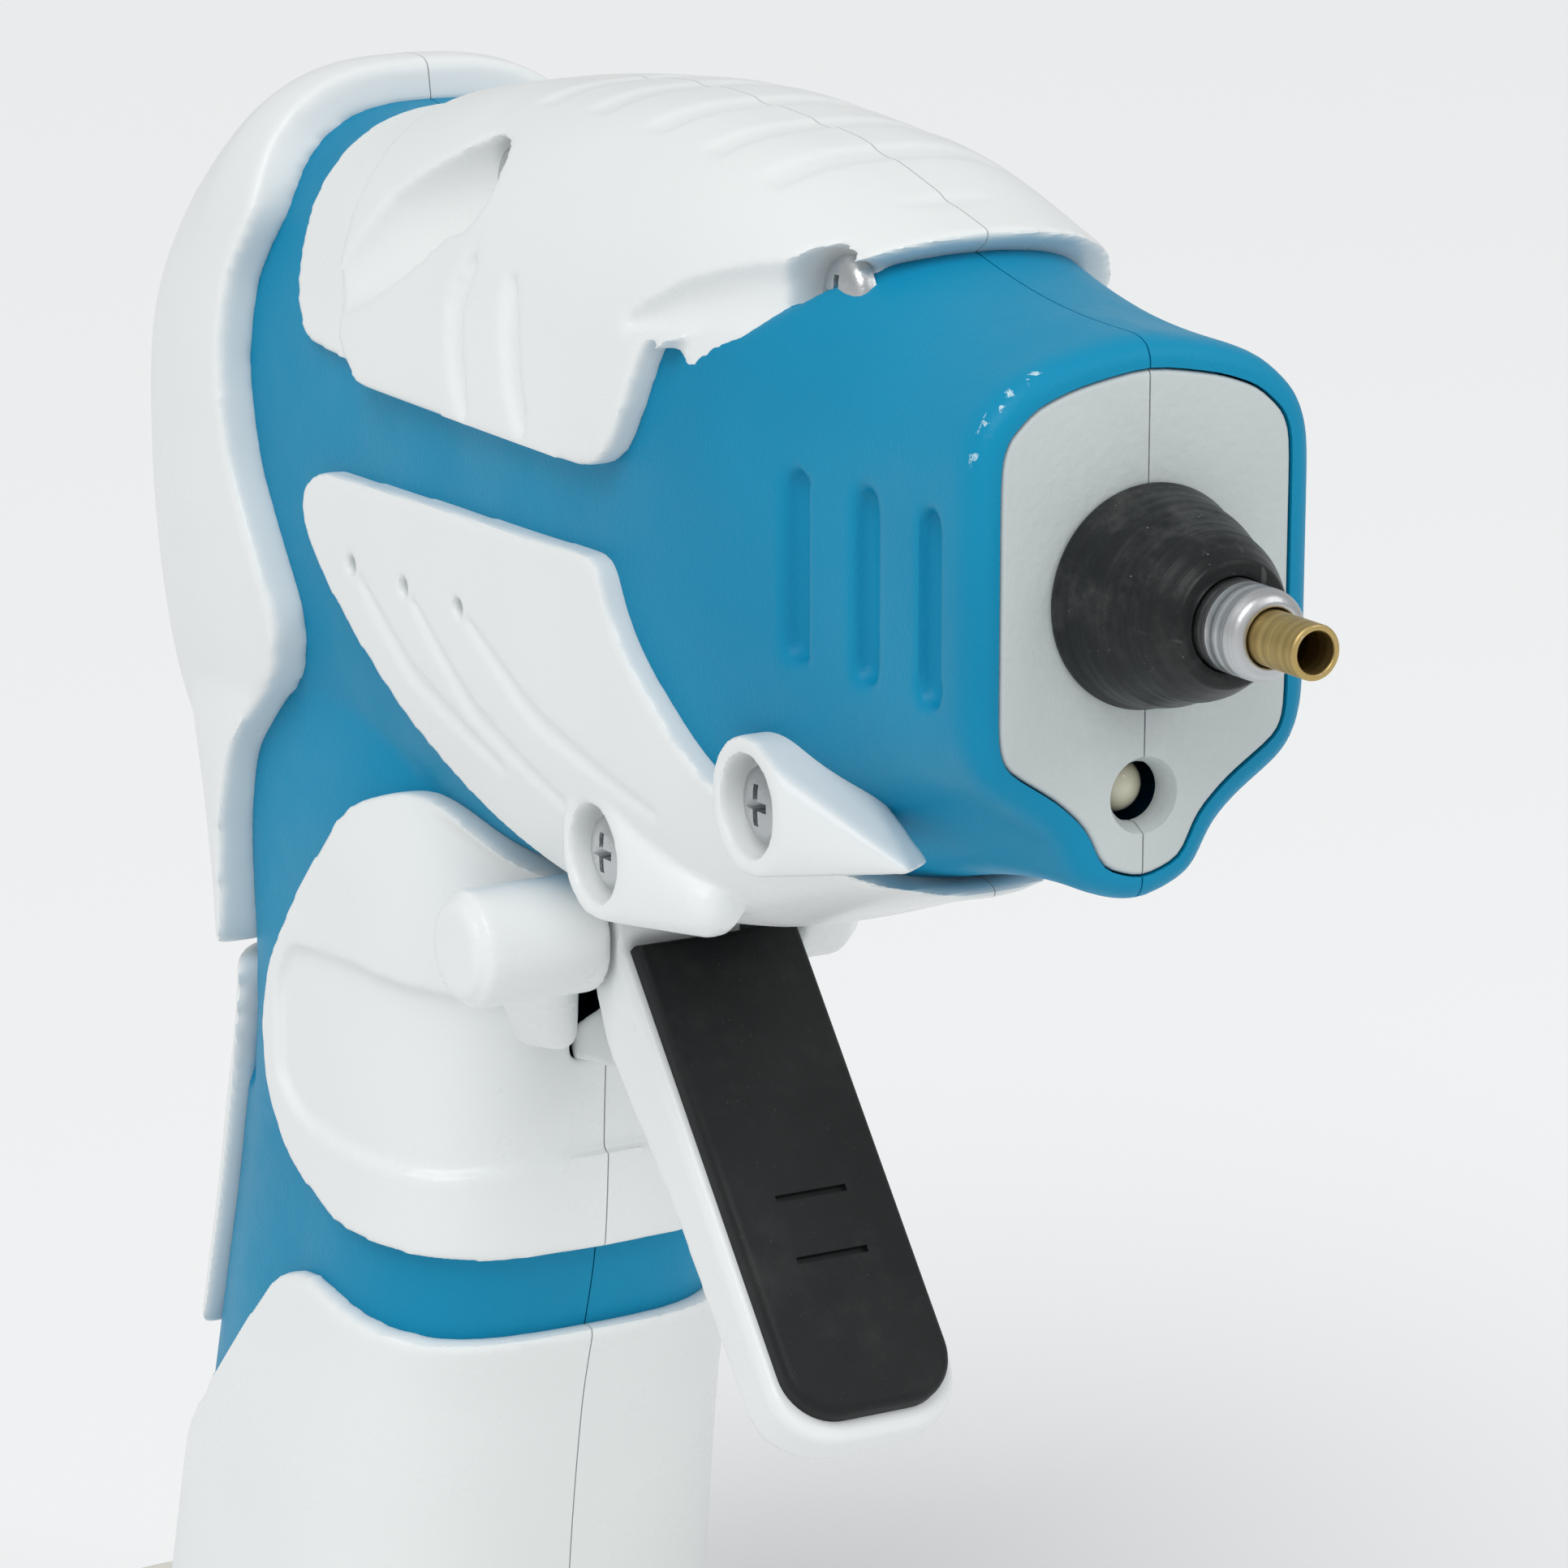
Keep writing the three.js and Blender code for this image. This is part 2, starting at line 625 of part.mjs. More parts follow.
// ---------- hot end ----------
function melt_chamber() {
  const front_bore = collar_r + gap;
  return turned([
    [bore_r, chamber_back], [chamber_r, chamber_back], [chamber_r, chamber_front - 1],
    [chamber_r - 1, chamber_front], [front_bore, chamber_front], [front_bore, chamber_front - 4],
    [tip_bore_r, chamber_front - 4], [tip_bore_r, chamber_front - 10], [bore_r, chamber_front - 22],
    [bore_r, chamber_back],
  ], 'x', 20);
}

function heater(up) {
  const z0 = chamber_r + gap;
  const piece = block(-44, -24, -4, 4, z0, z0 + heater_thick);
  return up > 0 ? piece : piece.mirror([0, 0, 1]);
}

function heat_shield() {
  return pipe(shield_r, shield_r - shield_wall, -50, -18, 'x', 24);
}

// ---------- stick path and feed ----------
function guide_tube() {
  const body = pipe(tube_r, bore_r, -head_length + 6, chamber_back - 1, 'x', 20);
  return body.subtract(block(-92, -61, -2.6, 2.6, 0, 20));
}

const arm_start = rad(-trigger_swing / 2);
const drive_x = pivot_x + arm_length * Math.sin(arm_start);
const drive_z = pivot_z + arm_length * Math.cos(arm_start);

function feed_carriage() {
  const inner = tube_r + run;
  const outer = inner + carriage_wall;
  const x0 = drive_x - carriage_length / 2;
  const ring = pipe(outer, inner, x0, x0 + carriage_length, 'x', 20);
  const open = drive_pin_r + run;
  const fork = block(drive_x - open - 2.4, drive_x + open + 2.4, -5.4, 5.4, drive_z - 4, -inner - 0.6);
  const slot = block(drive_x - open, drive_x + open, -far, far, drive_z - 9, drive_z + 4);
  const arm_room = block(-far * 2, 0, -arm_half - run, arm_half + run, -60, -outer - 0.2);
  const tooth = block(drive_x - 3 - gap, drive_x + 3 + gap, -2 - gap, 2 + gap, 0, 30);
  const tube_room = rod(inner, x0 - 5, x0 + carriage_length + 5, 'x', 20);
  return keep_largest(cut(ring.add(fork), [slot, arm_room, tooth, tube_room]));
}

function grip_tooth() {
  const top = tube_r + run + carriage_wall + 0.4;
  return prism([
    [drive_x - 3, stick_r + 1], [drive_x + 1, stick_r + 1], [drive_x + 3, stick_r + 0.2],
    [drive_x + 3, top], [drive_x - 3, top],
  ], -2, 2);
}

// ---------- trigger ----------
const lean = rad(lever_lean);
// Pad top, on the front face of the pad.
const pad_top = { x: pivot_x + 6, z: pivot_z - 0.4 };

// A point s mm down the lever and t mm behind the pad's face.
function on_lever(s, t) {
  const down = [Math.sin(lean), -Math.cos(lean)];
  const back = [-Math.cos(lean), -Math.sin(lean)];
  return [pad_top.x + down[0] * s + back[0] * t, pad_top.z + down[1] * s + back[1] * t];
}

// A slab along the lever with a rounded lower end; rings are [depth behind the pad, inset].
function lever_slab(s0, s1, half, corner, rings) {
  return skin(rings.map(([t, inset]) => {
    const r = Math.max(corner - inset, 0.6);
    const low = s1 - inset;
    const wide = half - inset;
    const ring = [[s0 + inset, -wide], [s0 + inset, wide]];
    for (let i = 0; i <= 5; i++) {
      const a = rad(i * 18);
      ring.push([low - r + r * Math.sin(a), wide - r + r * Math.cos(a)]);
    }
    for (let i = 5; i >= 0; i--) {
      const a = rad(i * 18);
      ring.push([low - r + r * Math.sin(a), -(wide - r + r * Math.cos(a))]);
    }
    return ring.map(([s, y]) => {
      const [x, z] = on_lever(s, t);
      return new THREE.Vector3(x, y, z);
    });
  }));
}

function trigger() {
  const t0 = pad_thick + gap;
  const end = pad_length + 2;
  const side_view = prism([
    on_lever(-2, t0), on_lever(end + 1, t0), on_lever(end + 1, t0 + 3.6),
    on_lever(end - 3, t0 + lever_thick - 0.6), on_lever(22, t0 + lever_thick),
    on_lever(6, t0 + lever_thick + 2), on_lever(-2, t0 + lever_thick),
  ], -far, far);
  const depth = t0 + lever_thick + 3;
  const slab = lever_slab(-3, end, lever_half_width, lever_corner, [
    [t0, 0.5], [t0 + 0.6, 0], [depth, 0],
  ]);
  const blade = slab.intersect(side_view);
  const boss = rod(pivot_boss_r - 1.6, -lever_half_width, lever_half_width, 'y').translate([pivot_x, 0, pivot_z]);
  const hook = prism([
    on_lever(4, t0 + 3), on_lever(14, t0 + lever_thick - 1), [pivot_x - 13, pivot_z - 17.6],
    [pivot_x - 17.5, pivot_z - 18.5], [pivot_x - 18, pivot_z - 15.5], [pivot_x - 12, pivot_z - 12],
  ], -hook_half, hook_half);
  const arm = prism([
    [pivot_x - 4, pivot_z], [pivot_x + 4, pivot_z], [drive_x + 2.6, drive_z], [drive_x + 1.6, drive_z + 2.6],
    [drive_x - 1.6, drive_z + 2.6], [drive_x - 2.6, drive_z],
  ], -arm_half, arm_half);
  return cut(join([blade, boss, hook, arm]), [
    rod(pivot_pin_r + 0.2, -far, far, 'y').translate([pivot_x, 0, pivot_z]),
    rod(drive_pin_r + gap, -far, far, 'y').translate([drive_x, 0, drive_z]),
    spring_room(),
  ]);
}

// Room in the trigger's boss for the coil of the return spring.
function spring_room() {
  return rod(pivot_boss_r - 1, spring_y0 - run, spring_y1 + run, 'y').translate([pivot_x, 0, pivot_z]);
}

// A close-wound coil around the pivot pin with one leg up into the housing.
function trigger_spring() {
  const inner = pivot_pin_r + run;
  const turns = 4;
  const pitch = (spring_y1 - spring_y0) / turns;
  const outline = [[inner, spring_y0]];
  for (let i = 0; i < turns; i++) {
    const y = spring_y0 + i * pitch;
    outline.push([spring_r - spring_wire_r, y], [spring_r, y + pitch / 2]);
  }
  outline.push([spring_r - spring_wire_r, spring_y1], [inner, spring_y1], [inner, spring_y0]);
  const leg_x = spring_r - spring_wire_r;
  const leg = rod(spring_wire_r, 0.4, 13, 'z', 8).translate([-leg_x, spring_y1 - spring_wire_r * 1.4, 0]);
  return turned(outline, 'y', 16).add(leg).translate([pivot_x, 0, pivot_z]);
}

function trigger_pad() {
  const pad = lever_slab(0, pad_length, pad_half_width, lever_corner - pad_edge, [
    [pad_thick, 0], [0.7, 0], [0, 0.8],
  ]);
  const grooves = [26, 32].map((s) => prism([
    on_lever(s, -1), on_lever(s + 1, -1), on_lever(s + 1, 0.6), on_lever(s, 0.6),
  ], -4.5, 4.5));
  return cut(pad, grooves);
}

function trigger_pin() {
  return rod(pivot_pin_r, -pin_right, pin_left, 'y').translate([pivot_x, 0, pivot_z]);
}

function drive_pin() {
  return rod(drive_pin_r, -5, 5, 'y', 8).translate([drive_x, 0, drive_z]);
}

// ---------- power ----------
const base_top = floor_z + pad_foot_thick + base_thick;
const socket_depth = 9;
const foot_screws = [foot_rear + socket_depth + 7, foot_front - 7];
const board_thick = 1.6;
const board_z = base_top + 1.4 + board_thick;
const button_x = foot_front - 15;

function battery_cell() {
  const tilt = Math.atan2(14, 60) * 180 / Math.PI;
  const cell = turned([
    [0, -cell_length / 2], [cell_r, -cell_length / 2], [cell_r, cell_length / 2 - 1],
    [3, cell_length / 2 - 1], [3, cell_length / 2], [0, cell_length / 2],
  ], 'z', 28);
  return cell.rotate([0, tilt, 0]).translate([-124.5, 0, below(-98)]);
}

function control_board() {
  return block(foot_front - 40, foot_front - 11.5, -16, 16, board_z - board_thick, board_z);
}

function power_button() {
  return rod(button_r, board_z + 2, foot_top + 1.6, 'z', 24).translate([button_x, 0, 0]);
}

function charge_socket() {
  return cut(block(foot_rear - 0.1 + gap, foot_rear + socket_depth, -4.6, 4.6, foot_top - 8, foot_top - 3.4), [
    block(foot_rear - 2, foot_rear + 6, -3.6, 3.6, foot_top - 7.2, foot_top - 4.2),
  ]);
}

// ---------- foot ----------
function rounded_rect(inset, z) {
  const x0 = foot_rear + inset;
  const x1 = foot_front - inset;
  const half = foot_half_width - inset;
  const r = Math.max(foot_corner - inset, 2);
  const spots = [];
  [[x1 - r, half - r, 0], [x0 + r, half - r, 90], [x0 + r, r - half, 180], [x1 - r, r - half, 270]]
    .forEach(([x, y, start]) => {
      for (let i = 0; i <= 4; i++) {
        const a = rad(start + i * 22.5);
        spots.push(new THREE.Vector3(x + r * Math.cos(a), y + r * Math.sin(a), z));
      }
    });
  return spots;
}



function foot_base() {
  const low = floor_z + pad_foot_thick;
  const outside = skin([
    rounded_rect(0.6, low), rounded_rect(0, low + 1.2), rounded_rect(0, foot_top - 3),
    rounded_rect(1, foot_top - 0.9), rounded_rect(3, foot_top),
  ]);
  const inside = skin([rounded_rect(foot_wall, low - 1), rounded_rect(foot_wall, foot_top - foot_wall)]);
  const screw_posts = foot_screws.map((x) =>
    rod(3.2, base_top + gap, foot_top - 1, 'z').translate([x, 0, 0])
      .subtract(rod(screw_shank_r + gap, low, foot_top - foot_wall, 'z', 8).translate([x, 0, 0])));
  return cut(join([outside.subtract(inside), ...screw_posts]), [
    form(-wall).intersect(block(foot_screws[0] + 5, 0, -far, far, floor_z + 1, foot_top + 5)),
    rod(button_r + run, foot_top - 7, foot_top + 10, 'z').translate([button_x, 0, 0]),
    block(foot_rear - 5, foot_rear + socket_depth + gap, -4.6 - gap, 4.6 + gap, foot_top - 8 - gap, foot_top - 3.4 + gap),
  ]);
}

function foot_plate() {
  const low = floor_z + pad_foot_thick;
  const inset = foot_wall + gap;
  const plate = skin([rounded_rect(inset, low), rounded_rect(inset, base_top)]);
  return cut(plate, foot_screws.flatMap((x) => [
    rod(screw_shank_r + gap, floor_z - 10, base_top + 2, 'z', 8).translate([x, 0, 0]),
    rod(seat_hole_r, floor_z - 10, low + 1.2, 'z').translate([x, 0, 0]),
  ]));
}

function foot_screw(x) {
  const low = floor_z + pad_foot_thick;
  const body = turned([
    [0, low], [screw_head_r, low], [screw_head_r, low + 1], [screw_shank_r, low + 1],
    [screw_shank_r, low + 6], [0, low + 6],
  ], 'z', 12);
  return body.translate([x, 0, 0]);
}

function rubber_foot(x, y) {
  return rod(pad_foot_r, floor_z, floor_z + pad_foot_thick - gap, 'z', 16).translate([x, y, 0]);
}

// ---------- assembly ----------
const group = new THREE.Group();
group.name = 'glue_gun';

function add(name, piece, look) {
  const data = piece.getMesh();
  const g = new THREE.BufferGeometry();
  g.setAttribute('position', new THREE.BufferAttribute(new Float32Array(data.vertProperties), 3));
  g.setIndex(new THREE.BufferAttribute(new Uint32Array(data.triVerts), 1));
  g.translate(-foot_centre, 0, axis_height);
  g.computeVertexNormals();
  const mesh = new THREE.Mesh(g, new THREE.MeshStandardMaterial(look));
  mesh.name = name;
  group.add(mesh);
}

for (const side of ['right', 'left']) {
  add(`housing_${side}`, housing(side), blue);
  add(`top_cover_${side}`, top_cover(side), white);
  add(`rear_cap_${side}`, rear_cap(side), white);
  add(`spine_strip_${side}`, spine_strip(side), white);
  add(`side_panel_${side}`, side_panel(side), white);
  add(`grip_panel_${side}`, grip_panel(side), white);
  add(`handle_sleeve_${side}`, handle_sleeve(side), white);
  add(`face_plate_${side}`, face_plate(side), plate_grey);
}
add('nozzle_guard', nozzle_guard(), rubber);
add('nozzle_body', nozzle_body(), aluminium);
add('nozzle_tip', nozzle_tip(), brass);
add('led_lens', led_lens(), clear);
add('melt_chamber', melt_chamber(), aluminium);
add('heater_upper', heater(1), ceramic);
add('heater_lower', heater(-1), ceramic);
add('heat_shield', heat_shield(), steel);
add('guide_tube', guide_tube(), cream);
add('feed_carriage', feed_carriage(), soft_black);
add('grip_tooth', grip_tooth(), steel);
add('trigger', trigger(), white);
add('trigger_pad', trigger_pad(), soft_black);
add('trigger_pin', trigger_pin(), steel);
add('drive_pin', drive_pin(), steel);
add('trigger_spring', trigger_spring(), steel);
for (const [name, seat] of Object.entries(screw_seats)) add(name, screw(seat), zinc);
add('battery_cell', battery_cell(), cell_wrap);
add('control_board', control_board(), board_green);
add('power_button', power_button(), soft_black);
add('charge_socket', charge_socket(), steel);
add('foot_base', foot_base(), cream);
add('foot_plate', foot_plate(), white);
foot_screws.forEach((x, i) => add(`foot_screw_${i + 1}`, foot_screw(x), zinc));
let foot_number = 1;
for (const x of [foot_rear + 14, foot_front - 16]) {
  for (const y of [-foot_half_width + 11, foot_half_width - 11]) {
    add(`rubber_foot_${foot_number}`, rubber_foot(x, y), rubber);
    foot_number += 1;
  }
}

// The middle foot is the face that the frame's origin lies on.
add(`rubber_foot_${foot_number}`, rubber_foot(foot_centre, 0), rubber);

export default group;
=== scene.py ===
"""Cordless glue gun: its finished shapes and surfaces, built around the CAD frame.

Shapes are drawn in millimetres with the nozzle axis on X and the face plate at x = 0,
and are moved to the frame, in metres, when they are finished.
"""

import logging
import math
from dataclasses import dataclass
from enum import Enum
from typing import Iterable, Optional, Sequence

import bmesh
import bpy
import numpy as np
from mathutils import Matrix, Vector


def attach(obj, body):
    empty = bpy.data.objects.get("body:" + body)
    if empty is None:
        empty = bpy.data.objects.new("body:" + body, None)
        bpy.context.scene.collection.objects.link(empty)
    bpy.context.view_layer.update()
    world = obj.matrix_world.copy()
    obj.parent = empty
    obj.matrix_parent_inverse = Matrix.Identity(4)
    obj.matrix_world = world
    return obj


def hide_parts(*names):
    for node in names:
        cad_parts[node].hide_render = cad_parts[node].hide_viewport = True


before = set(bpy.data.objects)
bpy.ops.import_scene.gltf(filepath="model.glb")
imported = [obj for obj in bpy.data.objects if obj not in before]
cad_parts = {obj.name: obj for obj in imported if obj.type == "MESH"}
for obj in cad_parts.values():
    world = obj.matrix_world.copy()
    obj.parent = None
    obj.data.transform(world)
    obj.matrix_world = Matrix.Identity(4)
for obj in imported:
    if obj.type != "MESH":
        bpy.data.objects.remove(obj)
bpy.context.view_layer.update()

LOG = logging.getLogger("glue_gun")

Point = tuple[float, float]
Spot = tuple[float, float, float]
Colour = tuple[float, float, float]

MM = 0.001
AXIS_HEIGHT = 150.0
FOOT_MIDDLE = -122.0
TO_ROW = Vector((-FOOT_MIDDLE, 0.0, AXIS_HEIGHT))
FAR = 60.0
GAP = 0.3
SINK = 0.5            # how far raised pieces reach into the blue body, so that no gap shows
SEAM = 0.07           # half of the line between the right and left halves
PIVOT = (-76.0, -44.0)     # where the trigger turns, as x and z
PIVOT_ROOM_R = 6.3
LEVER_ROOM = 10.2     # half the width left free for the lever
LEVER_FRONT, LEVER_BACK, LEVER_TOP = -66.0, -80.0, -29.0
HANDLE_END = -137.7   # the handle stops this low, inside the foot
INLET_R = 7.0         # the stick's way in at the back
SMOOTH_SHARE = 0.5
FILLET_SHARE = 0.45   # a rounded corner takes up no more than this share of a side
ROD_STEPS = 48
PLASTIC_IOR = 1.48
PATCH_SCALE = 60.0    # how fine the slow changes of gloss and shade are
PAINTED_SHADE_SHARE = 0.55    # how dark the painted shade in a crease is, next to the finish
DUST_COLOUR = (0.62, 0.62, 0.6)
# colour, middle and reach of the painted glints on the blue rim by the face
PAINTED_GLINT_COLOUR = (0.58, 0.76, 0.82)
PAINTED_GLINTS_AT = (-1.2, -12.9, 16.0)
PAINTED_GLINTS_REACH = 0.0075
CRISP_ANGLE = math.radians(35)   # edges sharper than this stay sharp


# ---------------------------------------------------------------- shapes


class Side(Enum):
    """The two halves that the gun is moulded in."""

    RIGHT = -1
    LEFT = 1


class Axis(Enum):
    """The direction that a round piece lies along."""

    X = "X"
    Y = "Y"
    Z = "Z"


class Solid:
    """A closed shape, in millimetres."""

    def __init__(self, mesh: bpy.types.Mesh) -> None:
        """Keeps a mesh.

        Args:
            mesh: a closed mesh with its faces pointing outwards.
        """
        self.mesh = mesh

    @classmethod
    def of(cls, bm: bmesh.types.BMesh) -> "Solid":
        """Makes a solid from a bmesh and frees it.

        Args:
            bm: the closed shape.

        Returns:
            The solid, with its faces pointing outwards.
        """
        bmesh.ops.recalc_face_normals(bm, faces=bm.faces[:])
        if bm.calc_volume(signed=True) < 0:
            bmesh.ops.reverse_faces(bm, faces=bm.faces[:])
        return cls.kept(bm)

    @classmethod
    def kept(cls, bm: bmesh.types.BMesh) -> "Solid":
        """Makes a solid from a bmesh as it is and frees it."""
        mesh = bpy.data.meshes.new("shape")
        bm.to_mesh(mesh)
        bm.free()
        return cls(mesh)

    def with_modifiers(self, *steps: tuple[str, dict]) -> "Solid":
        """Runs modifiers over the shape.

        Args:
            steps: pairs of a modifier's type and its settings.

        Returns:
            The changed shape.
        """
        host = bpy.data.objects.new("host", self.mesh)
        bpy.context.scene.collection.objects.link(host)
        for kind, settings in steps:
            modifier = host.modifiers.new(kind, kind)
            for key, value in settings.items():
                setattr(modifier, key, value)
        graph = bpy.context.evaluated_depsgraph_get()
        made = bpy.data.meshes.new_from_object(host.evaluated_get(graph))
        bpy.data.objects.remove(host)
        return Solid(made)

    def combined(self, other: "Solid", operation: str) -> "Solid":
        """Joins, cuts or overlaps this shape with another.

        Args:
            other: the second shape.
            operation: UNION, DIFFERENCE or INTERSECT.

        Returns:
            The result.
        """
        tool = bpy.data.objects.new("tool", other.mesh)
        bpy.context.scene.collection.objects.link(tool)
        settings = {"operation": operation, "solver": "MANIFOLD", "object": tool}
        made = self.with_modifiers(("BOOLEAN", settings))
        bpy.data.objects.remove(tool)
        if not made.mesh.vertices:
            LOG.warning("%s left nothing of a shape", operation)
        return made

    def __add__(self, other: "Solid") -> "Solid":
        """Joins two shapes."""
        return self.combined(other, "UNION")

    def __sub__(self, other: "Solid") -> "Solid":
        """Cuts another shape out of this one."""
        return self.combined(other, "DIFFERENCE")

    def __and__(self, other: "Solid") -> "Solid":
        """Keeps what two shapes share."""
        return self.combined(other, "INTERSECT")

    def softened(self, grid: float, passes: int) -> "Solid":
        """Rebuilds the skin on an even grid and rounds its edges.

        Args:
            grid: size of the even grid.
            passes: how many times the skin is smoothed.

        Returns:
            The softened shape.
        """
        return self.with_modifiers(
            ("REMESH", {"mode": "VOXEL", "voxel_size": grid, "use_smooth_shade": True}),
            ("SMOOTH", {"factor": SMOOTH_SHARE, "iterations": passes}),
        )

    def half(self, side: Side) -> "Solid":
        """The right or the left half, with a flat wall near y = 0."""
        sign = side.value
        ends = sorted((sign * SEAM, sign * 2 * FAR))
        return self & block((-300, ends[0], -250), (100, ends[1], 150))

    def moved(self, by: Spot) -> "Solid":
        """A copy that is moved."""
        mesh = self.mesh.copy()
        mesh.transform(Matrix.Translation(by))
        return Solid(mesh)

    def largest(self) -> "Solid":
        """The largest connected part, without slivers that a cut left loose."""
        bm = bmesh.new()
        bm.from_mesh(self.mesh)
        left = set(bm.verts)
        best: set = set()
        while left:
            start = left.pop()
            found, todo = {start}, [start]
            while todo:
                for edge in todo.pop().link_edges:
                    for v in edge.verts:
                        if v in left:
                            left.discard(v)
                            found.add(v)
                            todo.append(v)
            if len(found) > len(best):
                best = found
        bmesh.ops.delete(bm, geom=[v for v in bm.verts if v not in best], context="VERTS")
        return Solid.kept(bm)


def all_of(parts: Iterable[Solid]) -> Solid:
    """Joins several shapes into one."""
    left = list(parts)
    made = left[0]
    for part in left[1:]:
        made = made + part
    return made


def block(low: Spot, high: Spot, edge: float = 0.0) -> Solid:
    """A box from corner to corner.

    Args:
        low: lowest corner.
        high: highest corner.
        edge: rounding of its edges.

    Returns:
        The box.
    """
    bm = bmesh.new()
    bmesh.ops.create_cube(bm, size=1)
    sizes = [b - a for a, b in zip(low, high)]
    bmesh.ops.scale(bm, vec=sizes, verts=bm.verts[:])
    bmesh.ops.translate(bm, vec=[(a + b) / 2 for a, b in zip(low, high)], verts=bm.verts[:])
    if edge:
        bmesh.ops.bevel(bm, geom=bm.edges[:], affect="EDGES", offset=edge, segments=4,
                        profile=0.5, material=-1, clamp_overlap=True)
    return Solid.of(bm)


def prism(outline: Sequence[Point], y0: float, y1: float, edge: float = 0.0) -> Solid:
    """A side-view outline of x and z made solid from y0 to y1, its rims rounded by edge."""
    bm = bmesh.new()
    face = bm.faces.new([bm.verts.new((x, y0, z)) for x, z in outline])
    grown = bmesh.ops.extrude_face_region(bm, geom=[face])["geom"]
    top = [v for v in grown if isinstance(v, bmesh.types.BMVert)]
    bmesh.ops.translate(bm, vec=(0, y1 - y0, 0), verts=top)
    if edge:
        rims = [e for e in bm.edges if abs(e.verts[0].co.y - e.verts[1].co.y) < 1e-6]
        bmesh.ops.bevel(bm, geom=rims, affect="EDGES", offset=edge, segments=4,
                        profile=0.5, material=-1, clamp_overlap=True)
    return Solid.of(bm)


def through(outline: Sequence[Point]) -> Solid:
    """A side-view outline made solid across the whole gun."""
    return prism(outline, -FAR, FAR)


def upright(outline: Iterable[Point], x0: float, x1: float, edge: float = 0.0) -> Solid:
    """A front-view outline of y and z made solid from x0 to x1."""
    made = prism([(-y, z) for y, z in outline], x0, x1, edge)
    made.mesh.transform(Matrix.Rotation(-math.pi / 2, 4, "Z"))
    return made


def place_round(bm: bmesh.types.BMesh, axis: Axis) -> None:
    """Turns a shape that was made along Z so that it lies along an axis."""
    if axis is Axis.X:
        turn = Matrix.Rotation(math.pi / 2, 3, "Y")
    elif axis is Axis.Y:
        turn = Matrix.Rotation(-math.pi / 2, 3, "X")
    else:
        turn = Matrix.Identity(3)
    bmesh.ops.rotate(bm, cent=(0, 0, 0), matrix=turn, verts=bm.verts[:])


def turned(profile: Sequence[Point], axis: Axis, steps: int = 96) -> Solid:
    """A turned shape.

    Args:
        profile: points of radius and place along the axis.
        axis: the axis that it is turned round.
        steps: how many faces it has round the axis.

    Returns:
        The solid.
    """
    bm = bmesh.new()
    verts = [bm.verts.new((r, 0, a)) for r, a in profile]
    closed = profile[0][0] > 1e-6
    pairs = list(zip(verts, verts[1:])) + ([(verts[-1], verts[0])] if closed else [])
    for a, b in pairs:
        bm.edges.new((a, b))
    bmesh.ops.spin(bm, geom=bm.verts[:] + bm.edges[:], cent=(0, 0, 0), axis=(0, 0, 1),
                   dvec=(0, 0, 0), angle=2 * math.pi, steps=steps, use_merge=True,
                   use_normal_flip=False, use_duplicate=False)
    bmesh.ops.remove_doubles(bm, verts=bm.verts[:], dist=1e-4)
    place_round(bm, axis)
    return Solid.of(bm)


def rod(radius: float, a: float, b: float, axis: Axis, at: Spot = (0, 0, 0)) -> Solid:
    """A plain round rod from a to b along an axis."""
    return turned([(0, a), (radius, a), (radius, b), (0, b)], axis, ROD_STEPS).moved(at)


def stretched(bm: bmesh.types.BMesh) -> Solid:
    """The convex skin over a bmesh's points.

    Args:
        bm: any shapes; only their points count, and it is freed.

    Returns:
        The skin.
    """
    spots = [v.co.copy() for v in bm.verts]
    bm.free()
    made = bmesh.new()
    for spot in spots:
        made.verts.new(spot)
    bmesh.ops.convex_hull(made, input=made.verts[:], use_existing_faces=False)
    bmesh.ops.delete(made, geom=[v for v in made.verts if not v.link_faces], context="VERTS")
    return Solid.of(made)


def hull(*balls: tuple[Spot, float]) -> Solid:
    """The skin stretched over balls, each given by its middle and radius."""
    bm = bmesh.new()
    for middle, radius in balls:
        bmesh.ops.create_icosphere(bm, subdivisions=3, radius=radius,
                                   matrix=Matrix.Translation(middle))
    return stretched(bm)


def loft(rings: Sequence[Sequence[Spot]]) -> Solid:
    """A skin through rings that all have the same number of points, closed at both ends."""
    rows, count = len(rings), len(rings[0])
    bm = bmesh.new()
    bmesh.ops.create_grid(bm, x_segments=count, y_segments=rows - 1, size=1)
    order = sorted(bm.verts, key=lambda v: (round(v.co.y, 5), round(v.co.x, 5)))
    for i, vert in enumerate(order):
        vert.co = rings[i // (count + 1)][i % (count + 1) % count]
    bmesh.ops.remove_doubles(bm, verts=bm.verts[:], dist=1e-5)
    rim = [e for e in bm.edges if e.is_boundary]
    bmesh.ops.holes_fill(bm, edges=rim, sides=0)
    caps = [f for f in bm.faces if len(f.verts) > 4]
    bmesh.ops.triangulate(bm, faces=caps)
    return Solid.of(bm)


def round_step(t: float) -> float:
    """A smooth step from 0 to 1."""
    s = min(1.0, max(0.0, t))
    return s * s * (3 - 2 * s)


